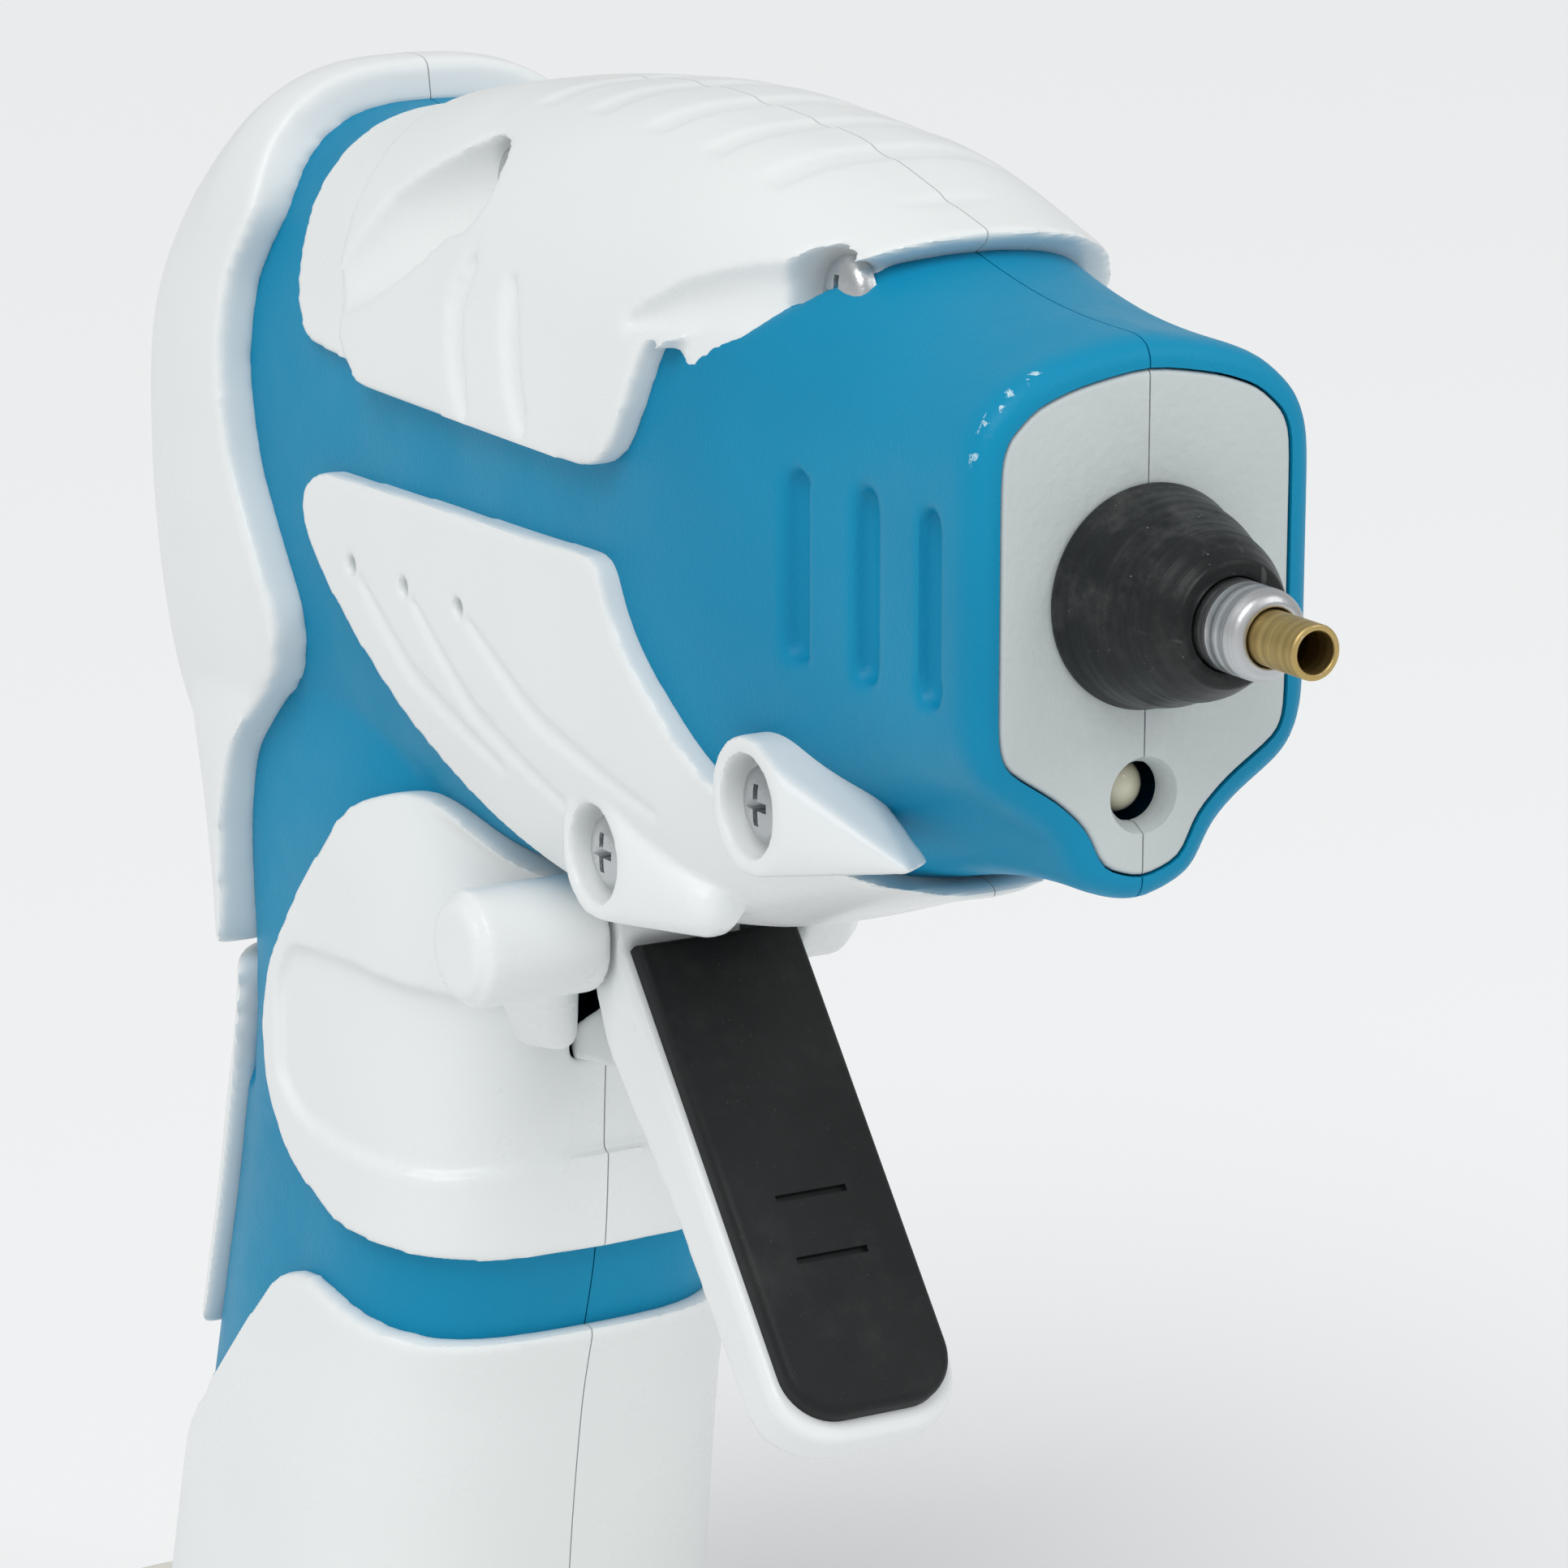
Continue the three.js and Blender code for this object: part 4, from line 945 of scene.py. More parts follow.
    def solid(self, amount: float) -> Solid:
        """The whole form at an amount, with the inner corner under the head filled softly."""
        if amount not in self.made:
            sharp = self.head(amount) + self.handle(amount)
            low = amount - self.fill_depth
            fill = (self.head(low) + self.handle(low)).softened(self.fill_grid, self.fill_passes)
            self.made[amount] = sharp + fill
        return self.made[amount]

    def skin(self, outer: float, inner: float) -> Solid:
        """The layer between two amounts."""
        key = ("skin", outer, inner)
        if key not in self.made:
            self.made[key] = self.solid(outer) - self.solid(inner)
        return self.made[key]

    def patch(self, outline: Sequence[Point], outer: float, passes: int = 8) -> Solid:
        """A raised piece inside a side-view outline."""
        return self.skin(outer, -SINK) & through(soft_outline(outline, 1.0, passes))


FORM = BodyForm()


@dataclass(frozen=True)
class Seat:
    """Where a screw goes in from the right."""

    x: float
    z: float
    y: float
    ring: float = 0.0

    def hole(self, radius: float, depth: float) -> Solid:
        """A round hole that comes in from the right as deep as a place on y."""
        return rod(radius, -FAR, depth, Axis.Y, (self.x, 0, self.z))


SEATS = {
    "nose_screw": Seat(-29.6, -21.3, -16.7, 5.9),
    "guard_screw": Seat(-57, -31.7, -16.7, 5.8),
    "cover_screw_front": Seat(-29, 20.4, -9.5),
    "cover_screw_rear": Seat(-82, 23.2, -12.4),
}
SEAT_HOLE = 4.0
LEAD_IN = {   # the scoop that leads each cover screw in, as balls of middle and radius
    "cover_screw_front": (((-47.8, -20.4, 16.3), 0.8), ((-41.0, -19.2, 18.3), 2.5),
                          ((-31.5, -17.6, 20.6), 4.1)),
    "cover_screw_rear": (((-103.0, -24.6, 11.0), 3.4), ((-93.5, -21.4, 18.0), 5.0),
                         ((-82.5, -16.2, 23.2), 4.4)),
}


def scoop(name: str, wall: float) -> Solid:
    """A cover screw's scoop and bore, grown by a wall."""
    seat = SEATS[name]
    balls = LEAD_IN[name]
    lead = [hull((a, r + wall), (b, s + wall)) for (a, r), (b, s) in zip(balls, balls[1:])]
    (x, y, z), size = balls[-1]
    way_in = hull(((x, -FAR, z + 3), size + wall), ((x, y, z), size + wall))
    return all_of([*lead, way_in, seat.hole(SEAT_HOLE + wall, seat.y + wall)])


def below_handle() -> Solid:
    """All the room below the handle's end."""
    return block((-220, -FAR, -190), (0, FAR, HANDLE_END))


# ---------------------------------------------------------------- blue housing


@dataclass
class Housing:
    """The two blue halves."""

    wall: float = 2.4
    vent_half: float = 1.6
    vent_depth: float = 1.6
    vents: tuple[float, ...] = (-6.6, -16.0, -25.5)
    vent_low: float = -8.6
    vent_high: float = 7.2
    vent_corner: float = 1.5
    plate_depth: float = 2.5
    pocket_r: float = 2.7
    slot_half: float = 4.4
    grid: float = 0.55
    passes: int = 8

    def vent_cutters(self) -> Solid:
        """Three shallow upright slots on each flank."""
        shallow = FORM.solid(2.0) - FORM.solid(-self.vent_depth)
        cutters = []
        for x in self.vents:
            half = self.vent_half
            ends = [(x - half, self.vent_low), (x + half, self.vent_low),
                    (x + half, self.vent_high), (x - half, self.vent_high)]
            cutters.append(shallow & through(filleted(ends, self.vent_corner)))
        return all_of(cutters)

    def build(self) -> dict[Side, Solid]:
        """Builds both halves."""
        body = FORM.solid(0.0) - self.vent_cutters()
        for side in (1, -1):
            pocket = [((-134.4, side * 18.4, z), self.pocket_r) for z in (-65.5, -71)]
            body = body - hull(*pocket)
        above = through([(-44.5, 10.8), (-42.2, 12.2), (-27.6, 22.4), (-18, 29), (-18, 60),
                         (-120, 60), (-120, 5), (-50, 5)])
        for name in LEAD_IN:
            body = body - (scoop(name, 0.4) & above)
        body = body.softened(self.grid, self.passes)
        mouth = upright(FORM.face_ring(0.16), -self.plate_depth - 6, 10)
        inner = FORM.head(-self.wall) + FORM.handle(-self.wall)
        cuts = [
            inner & block((-200, -FAR, -170), (-self.plate_depth - 2.5, FAR, FAR)),
            block((LEVER_BACK, -LEVER_ROOM, -56.5), (LEVER_FRONT, LEVER_ROOM, LEVER_TOP)),
            block((-112, -self.slot_half, -62.6), (-78, self.slot_half, LEVER_TOP)),
            rod(PIVOT_ROOM_R, -FAR, FAR, Axis.Y, (PIVOT[0], 0, PIVOT[1] - 0.6)),
            rod(INLET_R + 0.8, -200, -100, Axis.X),
            below_handle(),
            mouth,
        ]
        cuts += [seat.hole(seat.ring - 0.5, seat.y + 1.4) for seat in SEATS.values() if seat.ring]
        for cutter in cuts:
            body = body - cutter
        return {side: body.half(side).largest() for side in Side}


# ---------------------------------------------------------------- white pieces


@dataclass
class WhiteShell:
    """The white pieces that are laid over the blue body."""

    cover_thick: float = 2.2
    collar_thick: float = 1.1
    cap_thick: float = 3.4
    panel_thick: float = 1.8
    grip_thick: float = 1.6
    lip_depth: float = 0.55
    side_groove: Point = (1.5, 0.8)      # half width and depth
    top_rib_depth: float = 0.3
    flute: Point = (1.1, 0.45)           # half width and depth
    flute_pit_r: float = 0.95
    rest_depth: float = 0.95
    boss_top: float = -19.7
    lever_room: float = 10.0
    hook_room: float = 3.7

    cover = ((-23.5, 45), (-23.5, 25.2), (-27.6, 22.6), (-34.5, 17.8), (-42.0, 12.4),
             (-42.9, 12.8), (-43.0, 14.7), (-43.9, 15.7), (-45.2, 15.3), (-45.9, 12.4),
             (-47, 9), (-48.6, 6), (-50.2, 4.2), (-53, 3.3), (-97, 3.4), (-101, 6), (-104, 14),
             (-106, 45))
    collar = ((-92, 45), (-92, 4.4), (-111, 5.2), (-114, 8.4), (-117, 17), (-121.5, 45))
    cap = ((-130.7, 45), (-126.5, 22), (-123.3, 15.3), (-125.9, 9.2), (-125.6, 0),
           (-123, -8.2), (-117, -17), (-113.9, -22), (-116, -27.5), (-122, -32), (-127, -37),
           (-130.5, -47), (-133, -59), (-175, -59), (-175, 45))
    spine = ((-133.4, -60), (-136, -75), (-140.5, -90), (-145, -103), (-180, -103), (-180, -60))
    side = ((-51.5, -4.2), (-80, -5), (-106, -6), (-110, -8.4), (-109.5, -12), (-103, -18),
            (-91, -26.5), (-78, -34), (-70, -38), (-66, -42), (-66, -60), (-24, -60),
            (-21.6, -28.6), (-24.7, -28.9), (-27.5, -28.5), (-33, -25.6), (-37.5, -21.6),
            (-41, -18.2), (-43.4, -15.4), (-46.5, -12.6), (-49.6, -8.6))
    grip = ((-86, -40), (-90, -36), (-96.5, -34.8), (-104, -37.5), (-115, -49), (-121.5, -57),
            (-124, -63.5), (-122.6, -70.5), (-118, -76), (-108, -80.2), (-93.8, -81.6),
            (-78, -81.6), (-78, -52), (-82, -48))
    sleeve = ((-80, -90.6), (-99.9, -90.6), (-108, -89), (-114.5, -87), (-120.5, -88.6),
              (-127, -94.5), (-139, -106.5), (-152, -117.5), (-152.6, -104.6),
              (-185, -104.6), (-185, -150), (-80, -150))
    thumb_rest = ((-116.3, -54), (-104, -53), (-93.4, -54.4), (-86.5, -56), (-85, -60.6),
                  (-87, -65.7), (-89.4, -70.3), (-94, -72.9), (-102.5, -72.4), (-115, -71.3),
                  (-120, -68.5), (-119.8, -58.6))
    # Each piece's grid and number of smoothing passes.
    softening = {"top_cover": (0.42, 12), "rear_cap": (0.5, 14), "spine_strip": (0.5, 12),
                 "side_panel": (0.4, 8), "grip_panel": (0.42, 11), "handle_sleeve": (0.55, 12)}
    flutes = ((-98, -14.2, -72, -27.6), (-87, -14.2, -60, -29.4), (-76, -13.9, -46, -26.0))

    def groove(self, line: Sequence[Point], half: float, depth: float, outer: float) -> Solid:
        """A shallow groove along a side-view line, cut into a raised piece."""
        return self.ring_skin(outer, depth) & through(soft_outline(widened(line, half), 0.8, 2))

    @staticmethod
    def ring_skin(outer: float, depth: float) -> Solid:
        """The outermost layer of a raised piece, down to a depth."""
        return FORM.skin(outer + 2.0, outer - depth)

    def top_cover(self) -> Solid:
        """The cover with its collar behind, ribs across and a scoop for each screw."""
        outer = self.cover_thick + GAP
        made = FORM.patch(self.cover, outer, passes=2)
        made = made + FORM.patch(self.collar, self.collar_thick + GAP, passes=4)
        lip = through([(-20, 50), (-20, 26.6), (-23.5, 25.9), (-31.5, 27.2), (-36, 50)])
        made = made - (self.ring_skin(outer, self.lip_depth) & lip)
        for line in (((-63.4, 3.9), (-65.8, 8.5), (-67.6, 13.4), (-68.9, 17.5)),
                     ((-74.5, 3.6), (-77.2, 9), (-78.2, 13.9), (-76.4, 18.4))):
            made = made - self.groove(line, *self.side_groove, outer)
        for x in (-41.0, -50.8, -60.9, -71.4, -81.5):
            bar = prism([(x - 1.7, 26), (x + 1.7, 26), (x + 1.2, 50), (x - 2.2, 50)], -11, 11)
            made = made - (self.ring_skin(outer, self.top_rib_depth) & bar)
        low_side = prism([(-43.2, 11), (-43.2, 14.6), (-37, 19.2), (-30, 22.8), (-25, 22.8),
                          (-25, 18)], -FAR, -13)
        made = made - (FORM.skin(outer + 2.0, 0.12) & low_side)
        for name in LEAD_IN:
            pocket = scoop(name, 1.5) & FORM.solid(-0.35)
            reach = block((-110, -FAR, 0), (-20, SEATS[name].y + 2.2, 45))
            made = (made + (pocket & reach)) - scoop(name, 0.0)
        return made

    def rear_cap(self) -> Solid:
        """The thick band over the back of the head and handle."""
        made = FORM.patch(self.cap, self.cap_thick + GAP, passes=6)
        dimple = hull(((-143, -22, 17.6), 1.5), ((-140.2, -21, 22.4), 1.5),
                      ((-143, -12, 17.6), 1.5), ((-140.2, -10, 22.4), 1.5))
        inlet = rod(INLET_R, -200, -100, Axis.X)
        return made - dimple - inlet

    def side_panel(self) -> Solid:
        """The flank panel with its flutes and the pit above each."""
        outer = self.panel_thick + GAP
        made = FORM.patch(self.side, outer, passes=4)
        for x0, z0, x1, z1 in self.flutes:
            bend = ((x0 + x1) / 2 - 3, (z0 + z1) / 2 - 0.8)
            made = made - self.groove(((x0, z0), bend, (x1, z1)), *self.flute, outer)
            for ends in ((18.5, 26), (-26, -18.5)):
                made = made - rod(self.flute_pit_r, *ends, Axis.Y, (x0 - 1.2, 0, z0 + 0.5))
        return made

    def bosses(self, made: Solid) -> Solid:
        """Adds the screw bosses to the right side."""
        nose, guard = SEATS["nose_screw"], SEATS["guard_screw"]
        front = hull_rod(nose, self.boss_top, -12.0, (((-14.2, -13.2, -24.0), 0.3),
                                                      ((-16.0, -10.5, -24.0), 0.3)))
        rear = hull_rod(guard, self.boss_top, -13.0, (((-45.0, -14.6, -34.0), 3.0),))
        made = made + front + rear
        for seat in (nose, guard):
            made = made - seat.hole(SEAT_HOLE + 0.35, seat.y + 0.2)
        return made

    def grip_panel(self) -> Solid:
        """The grip's panel with its thumb rest and the boss that holds the trigger."""
        outer = self.grip_thick + GAP
        made = FORM.patch(self.grip, outer, passes=6)
        rest = through(soft_outline(self.thumb_rest, 1.0, 5))
        made = made - (self.ring_skin(outer, self.rest_depth) & rest)
        px, pz = PIVOT
        room, slot = self.lever_room, self.hook_room
        for sign, end in ((-1, 22.1), (1, 15.3)):
            for radius, past in ((5.5, 0.2), (4.6, 1.3)):
                ends = sorted((sign * room, sign * (end + past)))
                made = made + rod(radius, *ends, Axis.Y, (px - 1, 0, pz - 0.9))
            made = made + hull(((px - 3.5, sign * 13.0, pz - 2), 3.4),
                               ((px - 8.5, sign * 12.2, pz - 8), 2.6),
                               ((px - 8.5, sign * 9.0, pz - 12.5), 1.8),
                               ((px - 13, sign * 9.0, pz - 12.5), 2.6))
        made = made - FORM.solid(-SINK)
        for cutter in (block((LEVER_BACK, -room, -57.5), (-60, room, LEVER_TOP)),
                       rod(5.6, -room, room, Axis.Y, (px, 0, pz)),
                       block((-112, -slot, -62.2), (-78, slot, -40))):
            made = made - cutter
        return made

    def build(self) -> dict[str, Solid]:
        """Builds every white piece as one whole, before it is split in halves."""
        outer = self.grip_thick + GAP
        rough = {
            "top_cover": self.top_cover(),
            "rear_cap": self.rear_cap(),
            "spine_strip": FORM.patch(self.spine, outer),
            "side_panel": self.bosses(self.side_panel()),
            "grip_panel": self.grip_panel(),
            "handle_sleeve": FORM.patch(self.sleeve, outer) - below_handle(),
        }
        made = {name: solid.softened(*self.softening[name]) for name, solid in rough.items()}
        made["side_panel"] = self.trimmed(made["side_panel"])
        return made

    def trimmed(self, made: Solid) -> Solid:
        """Leaves room for the trigger and its pivot in the side panel."""
        room = block((-101, -LEVER_ROOM, -54), (LEVER_FRONT, LEVER_ROOM, LEVER_TOP))
        return made - room - rod(PIVOT_ROOM_R, -FAR, FAR, Axis.Y, (PIVOT[0], 0, PIVOT[1]))


def widened(line: Sequence[Point], half: float) -> list[Point]:
    """An outline that runs along a line at half a width on each side, narrow at its ends."""
    left, right = [], []
    for i, here in enumerate(line):
        p = Vector(here)
        a = Vector(line[max(0, i - 1)])
        b = Vector(line[min(len(line) - 1, i + 1)])
        across = Vector((-(b - a).y, (b - a).x)).normalized()
        reach = half * (0.55 if i in (0, len(line) - 1) else 1.0)
        left.append(tuple(p + across * reach))
        right.append(tuple(p - across * reach))
    return left + right[::-1]


def hull_rod(seat: Seat, y0: float, y1: float, balls: Sequence[tuple[Spot, float]]) -> Solid:
    """A round boss along Y at a seat, drawn out over balls."""
    bm = bmesh.new()
    turn = Matrix.Rotation(math.pi / 2, 4, "X")
    place = Matrix.Translation((seat.x, (y0 + y1) / 2, seat.z)) @ turn
    bmesh.ops.create_cone(bm, cap_ends=True, segments=64, radius1=seat.ring,
                          radius2=seat.ring, depth=y1 - y0, matrix=place)
    for middle, size in balls:
        bmesh.ops.create_icosphere(bm, subdivisions=2, radius=size,
                                   matrix=Matrix.Translation(middle))
    return stretched(bm)


# ---------------------------------------------------------------- nose pieces


@dataclass
class Nose:
    """The face plate and what stands in it."""

    guard_base: float = 9.0
    guard_length: float = 12.4
    collar_r: float = 3.65
    collar_end: float = 17.5
    tip_r: float = 2.2
    bore_r: float = 1.65
    tip_end: float = 23.3
    led_r: float = 2.3
    led_z: float = -16.2

    def face_plate(self) -> Solid:
        """The grey plate with its light's countersunk hole."""
        plate = upright(FORM.face_ring(0.0), -2.2, 0.0, 0.45)
        sink = turned([(0, -9), (self.led_r + 0.2, -9), (self.led_r + 0.2, -1.3),
                       (self.led_r + 0.9, 0.1), (self.led_r + 1.2, 2), (0, 2)], Axis.X)
        return plate - rod(self.collar_r + 2, -9, 9, Axis.X) - sink.moved((0, 0, self.led_z))

    def guard(self) -> Solid:
        """The dark cone round the collar."""
        inner, base, tip = self.collar_r + 0.06, self.guard_base, self.collar_r + 1.35
        return turned(filleted([
            (inner, 0.05), (base, 0.05), (base + 0.1, 0.7), (base - 0.2, 1.4), (base - 0.45, 2.4),
            (base - 0.85, 4.6), (base - 1.7, 6.8), (tip + 1.7, 9.3), (tip + 0.55, 11.4),
            (tip + 0.1, 12.2), (tip - 0.5, self.guard_length), (inner, self.guard_length - 0.2),
        ], 0.8), Axis.X, 160)

    def collar(self) -> Solid:
        """The metal collar that carries the tip."""
        bore = self.tip_r + 0.05
        return turned(filleted([
            (bore, -10), (self.collar_r, -10), (self.collar_r, self.collar_end - 1.1),
            (self.collar_r - 0.35, self.collar_end - 0.35), (self.collar_r - 0.9, self.collar_end),
            (bore + 0.15, self.collar_end + 0.02), (bore, self.collar_end - 0.5),
        ], 0.25), Axis.X, 128)

    def tip(self) -> Solid:
        """The brass tube."""
        return turned(filleted([
            (self.bore_r, 2), (self.tip_r, 2), (self.tip_r, self.tip_end - 0.15),
            (self.tip_r - 0.14, self.tip_end), (self.bore_r + 0.1, self.tip_end),
            (self.bore_r, self.tip_end - 0.15),
        ], 0.1), Axis.X, 128)

    def lens(self) -> Solid:
        """The domed light."""
        r = self.led_r
        return turned([(0, -7), (r, -7), (r, -4.4), (r * 0.96, -3.9), (r * 0.82, -3.35),
                       (r * 0.6, -2.9), (r * 0.3, -2.62), (0, -2.5)], Axis.X,
                      64).moved((0, 0, self.led_z))


# ---------------------------------------------------------------- trigger


@dataclass
class Trigger:
    """The lever, its pad, its hook and the arm that drives the feed."""

    lean: float = math.radians(40)
    half: float = 9.4
    pad_edge: float = 1.1
    pad_length: float = 47.0
    pad_thick: float = 2.0
    thick: float = 6.0
    corner: float = 6.0
    arm_length: float = 26.0
    swing: float = math.radians(28)
    boss_r: float = 4.4
    pin_hole_r: float = 2.0
    drive_hole_r: float = 1.8
    hook_half: float = 3.2
    arm_half: float = 2.6
    grid: float = 0.36
    passes: int = 5
    groove_places: Point = (26, 32)
    groove_half: float = 3.6

    def on_lever(self, s: float, t: float) -> Point:
        """A point s down the lever and t behind the pad's face."""
        down = (math.sin(self.lean), -math.cos(self.lean))
        back = (-math.cos(self.lean), -math.sin(self.lean))
        return (PIVOT[0] + 6 + down[0] * s + back[0] * t,
                PIVOT[1] - 0.4 + down[1] * s + back[1] * t)

    def slab(self, s0: float, s1: float, half: float, corner: float,
             rings: Sequence[Point]) -> Solid:
        """A slab along the lever with a rounded lower end; rings are depth and inset."""
        made = []
        for t, inset in rings:
            r, low, wide = max(corner - inset, 0.6), s1 - inset, half - inset
            ring = [(s0 + inset, -wide), (s0 + inset, wide)]
            arc = [math.radians(i * 7.5) for i in range(13)]
            ring += [(low - r + r * math.sin(a), wide - r + r * math.cos(a)) for a in arc]
            ring += [(low - r + r * math.sin(a), -(wide - r + r * math.cos(a)))
                     for a in reversed(arc)]
            placed = [(*self.on_lever(s, t), y) for s, y in ring]
            made.append([(x, y, z) for x, z, y in placed])
        return loft(made)

    def drive(self) -> Point:
        """The drive pin's place."""
        start = -self.swing / 2
        return (PIVOT[0] + self.arm_length * math.sin(start),
                PIVOT[1] + self.arm_length * math.cos(start))

    def lever(self) -> Solid:
        """The white lever in one piece with its boss, hook and arm."""
        t0, end = self.pad_thick + 0.06, self.pad_length + 2
        px, pz = PIVOT
        dx, dz = self.drive()
        at = self.on_lever
        side = through(filleted([
            at(-2, t0), at(end + 1, t0), at(end + 1, t0 + 3.6), at(end - 3, t0 + self.thick - 0.6),
            at(22, t0 + self.thick), at(6, t0 + self.thick + 2), at(-2, t0 + self.thick)], 1.2))
        slab = self.slab(-3, end, self.half, self.corner,
                         [(t0, 0.7), (t0 + 0.25, 0.35), (t0 + 0.9, 0), (t0 + self.thick + 3, 0)])
        hook = prism([at(4, t0 + 3), at(14, t0 + self.thick - 1), (px - 13, pz - 17.6),
                      (px - 17.5, pz - 18.5), (px - 18, pz - 15.5), (px - 12, pz - 12)],
                     -self.hook_half, self.hook_half)
        arm = prism([(px - 4, pz), (px + 4, pz), (dx + 2.6, dz), (dx + 1.6, dz + 2.6),
                     (dx - 1.6, dz + 2.6), (dx - 2.6, dz)], -self.arm_half, self.arm_half)
        boss = rod(self.boss_r, -self.half, self.half, Axis.Y, (px, 0, pz))
        made = all_of([slab & side, boss, hook, arm]).softened(self.grid, self.passes)
        cuts = [rod(self.pin_hole_r, -FAR, FAR, Axis.Y, (px, 0, pz)),
                rod(self.drive_hole_r, -FAR, FAR, Axis.Y, (dx, 0, dz)),
                rod(5.0, 3.1, 7.7, Axis.Y, (px, 0, pz))]     # where the spring sits
        for cutter in cuts:
            made = made - cutter
        return made.largest()

    def pad(self) -> Solid:
        """The dark pad with its two short grooves."""
        rings = [(self.pad_thick, 0.0), (1.1, 0.0), (0.7, 0.06), (0.4, 0.2), (0.18, 0.42),
                 (0.05, 0.7), (0.0, 1.0)]
        made = self.slab(0, self.pad_length, self.half - self.pad_edge,
                         self.corner - self.pad_edge, rings)
        at = self.on_lever
        for s in self.groove_places:
            made = made - prism([at(s, -1), at(s + 0.8, -1), at(s + 0.7, 0.55), at(s + 0.1, 0.55)],
                                -self.groove_half, self.groove_half)
        return made


# ---------------------------------------------------------------- screws and foot


@dataclass
class Hardware:
    """Screws, all with crossed recesses."""

    head_r: float = 3.3
    head_thick: float = 1.7
    shank_r: float = 1.2
    grip: float = 9.0
    recess_arm: Point = (1.85, 0.42)     # half length and half width
    recess_depth: float = 1.9

    def screw(self, face: float, length: float) -> Solid:
        """A pan-head screw along Y whose face is at a place and looks to -y."""
        r, under = self.head_r, face + self.head_thick
        body = turned([
            (0, face - 0.35), (r * 0.45, face - 0.28), (r * 0.75, face - 0.05),
            (r * 0.93, face + 0.3), (r, face + 0.75), (r, under), (self.shank_r, under),
            (self.shank_r, length - 1), (0.4, length), (0, length)], Axis.Y, 64)
        return body - self.recess(face - 0.4)

    def recess(self, face: float) -> Solid:
        """A tapered crossed recess that starts at a place on y."""
        arms = []
        for wide, tall in (self.recess_arm, self.recess_arm[::-1]):
            rings = [[(sx * wide * k, face - 0.6 + step, sz * tall * (0.6 + 0.4 * k))
                      for sx, sz in ((1, 1), (-1, 1), (-1, -1), (1, -1))]
                     for step, k in ((0, 1.15), (self.recess_depth + 0.6, 0.35))]
            arms.append(loft(rings))
        return arms[0] + arms[1]


@dataclass
class Foot:
    """The flared foot and what is under it."""

    rear: float = -172.0
    front: float = -72.0
    half: float = 27.0
    corner: float = 12.0
    height: float = 12.0
    wall: float = 2.4
    pad_thick: float = 1.4
    button_r: float = 4.0
    button_back: float = 15.0
    screw_places: Point = (16.0, 7.0)    # in from the rear and from the front

    def screws_at(self) -> Point:
        """Where on x the two screws below the foot stand."""
        return (self.rear + self.screw_places[0], self.front - self.screw_places[1])

    def ring(self, inset: float, z: float) -> list[Spot]:
        """A rounded rectangle at a height."""
        x0, x1, half = self.rear + inset, self.front - inset, self.half - inset
        r = max(self.corner - inset, 2.0)
        spots = []
        for x, y, start in ((x1 - r, half - r, 0), (x0 + r, half - r, 90),
                            (x0 + r, r - half, 180), (x1 - r, r - half, 270)):
            for i in range(13):
                a = math.radians(start + i * 7.5)
                spots.append((x + r * math.cos(a), y + r * math.sin(a), z))
        return spots

    def base(self) -> Solid:
        """The foot's shell."""
        low, top = self.pad_thick - AXIS_HEIGHT, self.height - AXIS_HEIGHT
        rings = [(0.7, low), (0.25, low + 0.25), (0, low + 0.9), (0, low + 5), (0, top - 3.4)]
        rings += [(3.4 * (1 - math.cos(a)), top - 3.4 * (1 - math.sin(a)))
                  for a in (math.radians(d) for d in range(10, 91, 10))]
        outside = loft([self.ring(inset, z) for inset, z in rings])
        inside = loft([self.ring(self.wall, low - 1), self.ring(self.wall, top - self.wall)])
        neck = FORM.handle(-self.wall) & block((-163, -FAR, -149), (0, FAR, -130))
        made = outside - inside - neck
        button = rod(self.button_r + 0.25, top - 7, top + 10, Axis.Z,
                     (self.front - self.button_back, 0, 0))
        socket = block((self.rear - 5, -4.9, top - 8.3), (self.rear + 9.3, 4.9, top - 3.1), 0.6)
        return made - button - socket

    def plate(self) -> Solid:
        """The plate that closes the foot below."""
        low = self.pad_thick - AXIS_HEIGHT
        made = loft([self.ring(self.wall + 0.55, low), self.ring(self.wall + 0.3, low + 0.25),
                     self.ring(self.wall + 0.3, low + 2)])
        for x in self.screws_at():
            made = made - rod(1.5, -160, -130, Axis.Z, (x, 0, 0))
            made = made - rod(3.9, -160, low + 1.2, Axis.Z, (x, 0, 0))
        return made

    def button(self) -> Solid:
        """The round power button with a dished top."""
        low, top = -AXIS_HEIGHT + 8.4, self.height - AXIS_HEIGHT + 1.6
        r = self.button_r
        return turned([(0, low), (r, low), (r, top - 0.5), (r - 0.15, top - 0.15),
                       (r - 0.5, top), (r - 1.4, top - 0.12), (r - 2.7, top - 0.4),
                       (0, top - 0.5)], Axis.Z, 64).moved((self.front - self.button_back, 0, 0))

    def rubber(self, x: float, y: float) -> Solid:
        """One round rubber foot with a soft edge."""
        top = self.pad_thick - GAP
        made = turned([(0, 0), (4.2, 0), (4.7, 0.15), (4.95, 0.45), (5, 0.8), (5, top), (0, top)],
                      Axis.Z, 48)
        return made.moved((x, y, -AXIS_HEIGHT))


# ---------------------------------------------------------------- the whole gun


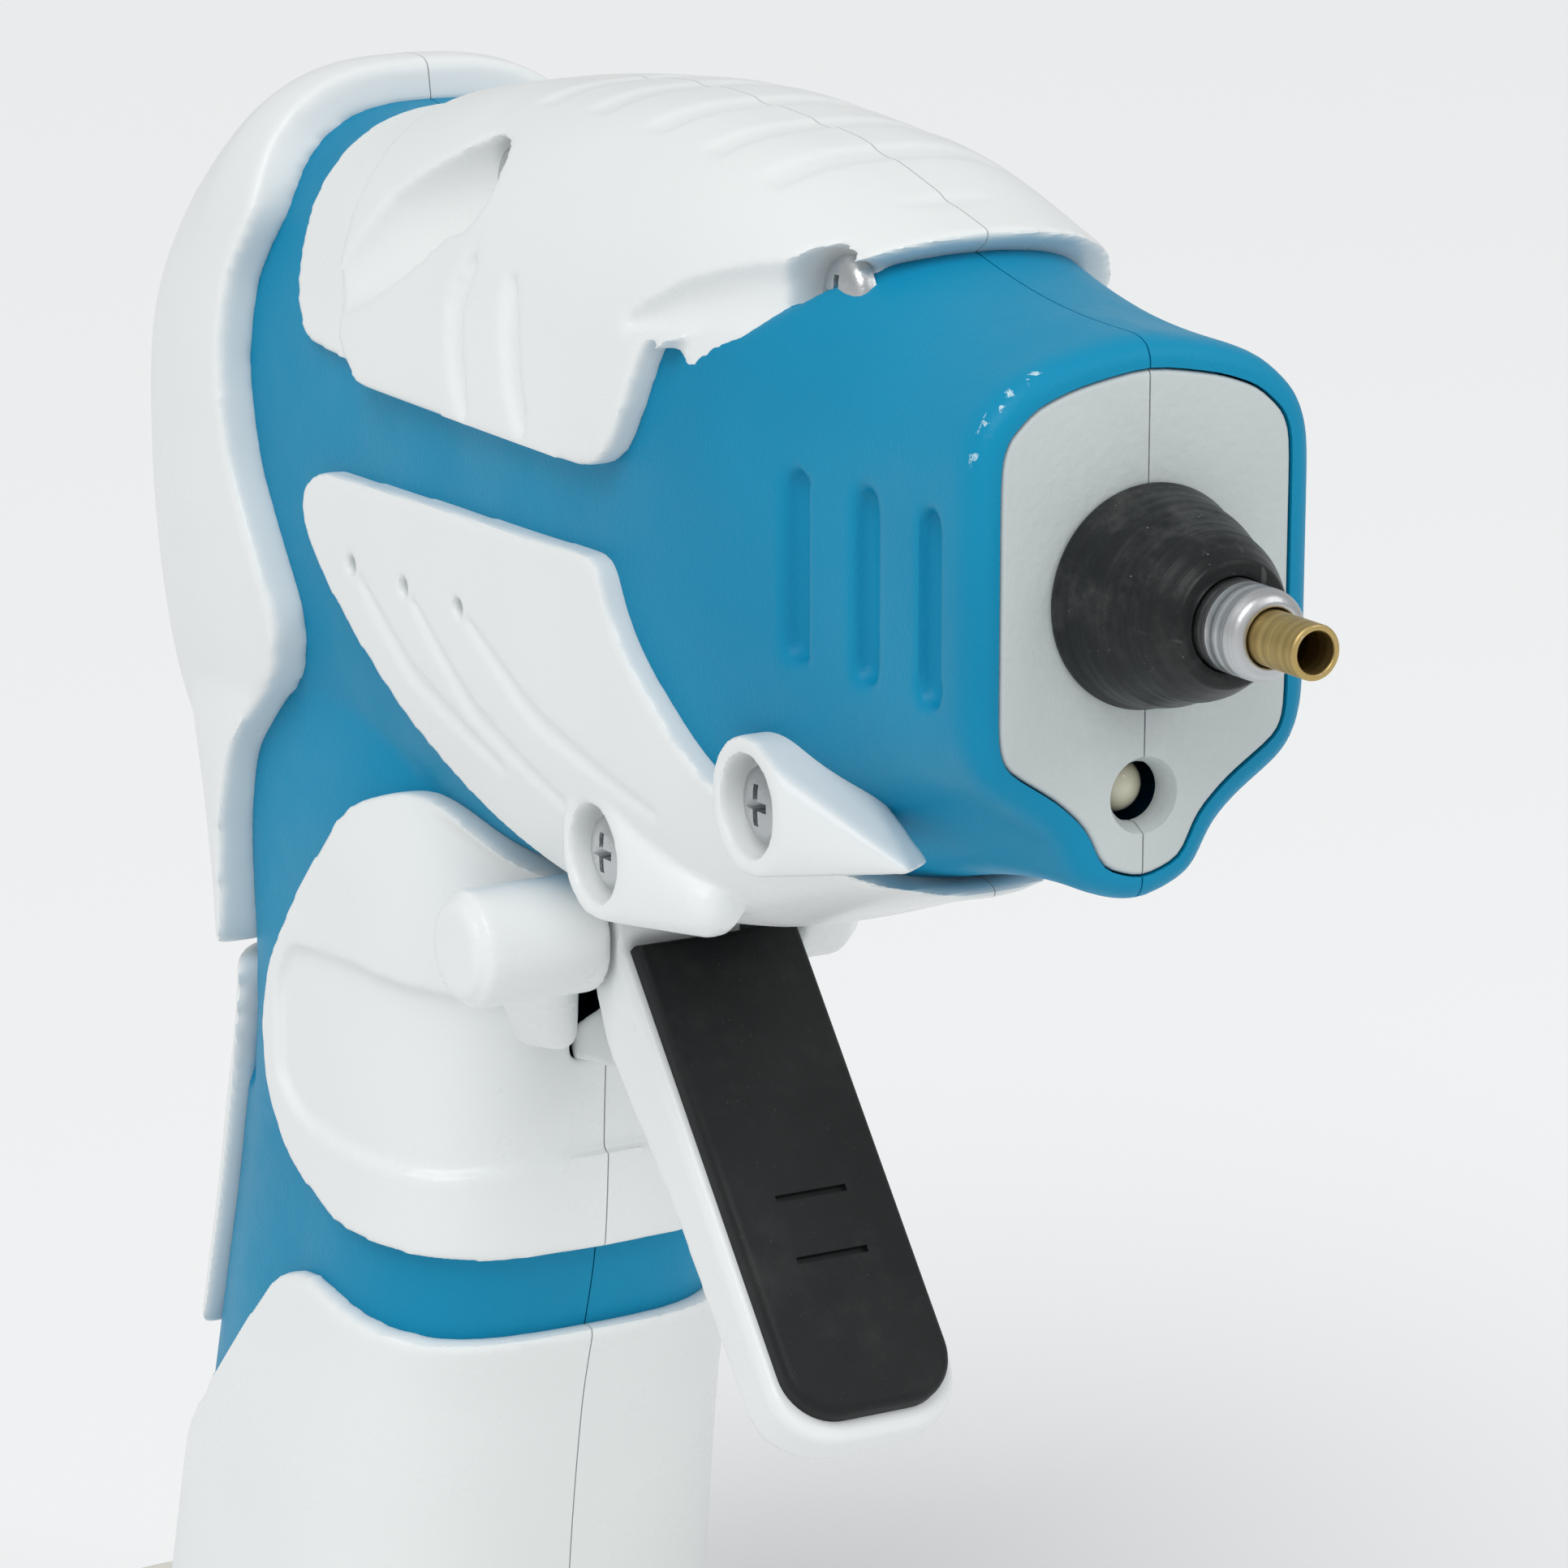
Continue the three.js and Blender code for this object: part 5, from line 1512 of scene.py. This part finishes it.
@dataclass
class GlueGun:
    """Builds every piece and puts it on the frame."""

    workshop: Workshop

    def halves(self, name: str, whole: Solid, finish: Finish, slot: str) -> None:
        """Splits a piece at the seam and places both halves."""
        for side in Side:
            half = whole.half(side).largest()
            self.dress(f"{name}_{side.name.lower()}", half, finish, slot)

    def shells(self) -> None:
        """The blue and white shells."""
        for side, solid in Housing().build().items():
            self.dress(f"housing_{side.name.lower()}", solid, BLUE, "blue_shell")
        for name, whole in WhiteShell().build().items():
            self.halves(name, whole, WHITE, "white_shell")

    def dress(self, name: str, solid: Solid, finish: Finish, slot: str,
              body: str = "gun") -> None:
        """Places a piece that stands for the CAD node of the same name."""
        self.workshop.place(solid, Dress(f"{name}_finished", finish, slot, name, body))

    def nose(self) -> None:
        """The face plate, cone, collar, tip and light."""
        nose = Nose()
        self.halves("face_plate", nose.face_plate(), PLATE, "face_grey")
        self.dress("nozzle_guard", nose.guard(), CONE, "guard_rubber")
        self.dress("nozzle_body", nose.collar(), COLLAR, "collar_metal")
        self.dress("nozzle_tip", nose.tip(), BRASS, "nozzle_brass")
        self.dress("led_lens", nose.lens(), LENS, "led_clear")

    def lever(self) -> None:
        """The trigger and its pad."""
        trigger = Trigger()
        self.dress("trigger", trigger.lever(), WHITE, "trigger_white", "trigger")
        self.dress("trigger_pad", trigger.pad(), PAD, "pad_soft", "trigger")

    def screws(self) -> None:
        """The four screws in the shells and the two under the foot."""
        parts = Hardware()
        for name, seat in SEATS.items():
            solid = parts.screw(seat.y - parts.head_thick, parts.grip).moved((seat.x, 0, seat.z))
            self.dress(name, solid, ZINC, "screw_zinc")
        foot = Foot()
        low = foot.pad_thick - AXIS_HEIGHT
        for i, x in enumerate(foot.screws_at(), 1):
            solid = parts.screw(0.36, 6.0)
            solid.mesh.transform(Matrix.Rotation(math.pi / 2, 4, "X"))
            self.dress(f"foot_screw_{i}", solid.moved((x, 0, low)), ZINC, "screw_zinc")

    def foot(self) -> None:
        """The foot, its plate, button and rubber feet."""
        foot = Foot()
        self.dress("foot_base", foot.base(), FOOT, "foot_plastic")
        self.dress("foot_plate", foot.plate(), FOOT, "foot_plastic")
        self.dress("power_button", foot.button(), RUBBER, "button_black", "button")
        places = [(x, y) for x in (-158, -88) for y in (-16, 16)] + [(FOOT_MIDDLE, 0)]
        for i, (x, y) in enumerate(places, 1):
            self.dress(f"rubber_foot_{i}", foot.rubber(x, y), RUBBER, "foot_rubber")

    def inner_parts(self) -> None:
        """Gives the hidden CAD pieces their finishes."""
        looks = {
            "melt_chamber": (COLLAR, "chamber_metal"), "heater_upper": (CERAMIC, "heater_ceramic"),
            "heater_lower": (CERAMIC, "heater_ceramic"), "heat_shield": (STEEL, "shield_steel"),
            "guide_tube": (CREAM, "tube_plastic"), "feed_carriage": (DARK, "carriage_plastic"),
            "grip_tooth": (STEEL, "pin_steel"), "trigger_pin": (STEEL, "pin_steel"),
            "drive_pin": (STEEL, "pin_steel"), "trigger_spring": (STEEL, "pin_steel"),
            "battery_cell": (WRAP, "cell_wrap"), "control_board": (BOARD, "board_green"),
            "charge_socket": (STEEL, "shield_steel")}
        for name, (finish, slot) in looks.items():
            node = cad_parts[name]
            node.data.materials.clear()
            node.data.materials.append(self.workshop.shop.material(finish))
            LOG.info("%s keeps its CAD shape", name)

    def build(self) -> None:
        """Builds everything in order."""
        self.shells()
        self.nose()
        self.lever()
        self.screws()
        self.foot()
        self.inner_parts()


# ---------------------------------------------------------------- stage


@dataclass
class Studio:
    """The pale floor, the soft light and the camera."""

    camera_at: Spot = (0.48713, -0.23858, 0.24543)
    lens: float = 130.43
    azimuth: float = math.radians(-29.42)    # where the camera stands round the gun
    elevation: float = math.radians(14.27)
    roll: float = math.radians(-0.02)
    sun_from: Spot = (0.55, -0.75, 1.15)
    sun_power: float = 1.33
    sun_spread: float = math.radians(40)
    sky_power: float = 0.57
    box_at: Spot = (0.75, 0.55, 0.75)
    box_size: float = 0.5
    box_power: float = 1.6
    floor_size: float = 8.0

    def floor(self) -> None:
        """A wide pale floor."""
        bm = bmesh.new()
        bmesh.ops.create_grid(bm, x_segments=1, y_segments=1, size=self.floor_size)
        mesh = bpy.data.meshes.new("floor")
        bm.to_mesh(mesh)
        bm.free()
        look = bpy.data.materials.new("floor_pale")
        look.use_nodes = True
        shader = look.node_tree.nodes["Principled BSDF"]
        shader.inputs["Base Color"].default_value = (0.93, 0.935, 0.94, 1)
        shader.inputs["Roughness"].default_value = 0.9
        mesh.materials.append(look)
        floor = bpy.data.objects.new("floor", mesh)
        bpy.context.scene.collection.objects.link(floor)

    @staticmethod
    def shine(name: str, kind: str, at: Spot, towards: Vector, **settings: float) -> None:
        """A light that shines in a direction.

        Args:
            name: its name.
            kind: AREA or SUN.
            at: where it is.
            towards: the direction it shines in.
            settings: its size, spread and power.
        """
        data = bpy.data.lights.new(name, kind)
        for key, value in settings.items():
            setattr(data, key, value)
        lamp = bpy.data.objects.new(name, data)
        lamp.location = at
        lamp.rotation_mode = "QUATERNION"
        lamp.rotation_quaternion = towards.to_track_quat("-Z", "Y")
        bpy.context.scene.collection.objects.link(lamp)

    def sky(self) -> None:
        """An even white surround."""
        world = bpy.data.worlds.new("surround")
        world.use_nodes = True
        sky = world.node_tree.nodes["Background"]
        sky.inputs["Color"].default_value = (0.985, 0.995, 1.0, 1)
        sky.inputs["Strength"].default_value = self.sky_power
        bpy.context.scene.world = world

    def camera(self) -> None:
        """The camera, a long lens near the nozzle's height."""
        data = bpy.data.cameras.new("camera")
        data.sensor_width = 36
        data.lens = self.lens
        data.clip_start, data.clip_end = 0.01, 50
        camera = bpy.data.objects.new("camera", data)
        quarter = math.pi / 2
        turn = (Matrix.Rotation(self.azimuth + quarter, 4, "Z")
                @ Matrix.Rotation(quarter - self.elevation, 4, "X")
                @ Matrix.Rotation(self.roll, 4, "Z"))
        camera.matrix_world = Matrix.Translation(self.camera_at) @ turn
        bpy.context.scene.collection.objects.link(camera)
        bpy.context.scene.camera = camera

    def build(self) -> None:
        """Sets the stage."""
        self.floor()
        self.sky()
        gun = Vector((0.06, 0, 0.11))
        self.shine("broad_light", "SUN", (0, 0, 0), -Vector(self.sun_from),
                   angle=self.sun_spread, energy=self.sun_power)
        self.shine("soft_box", "AREA", self.box_at, gun - Vector(self.box_at),
                   size=self.box_size, energy=self.box_power)
        bpy.context.scene.view_settings.view_transform = "Standard"
        self.camera()


def main() -> None:
    """Builds the gun and its stage, and notes the size."""
    logging.basicConfig(level=logging.INFO, format="%(message)s")
    GlueGun(Workshop(PaintShop())).build()
    Studio().build()


if __name__ == "__main__":
    main()
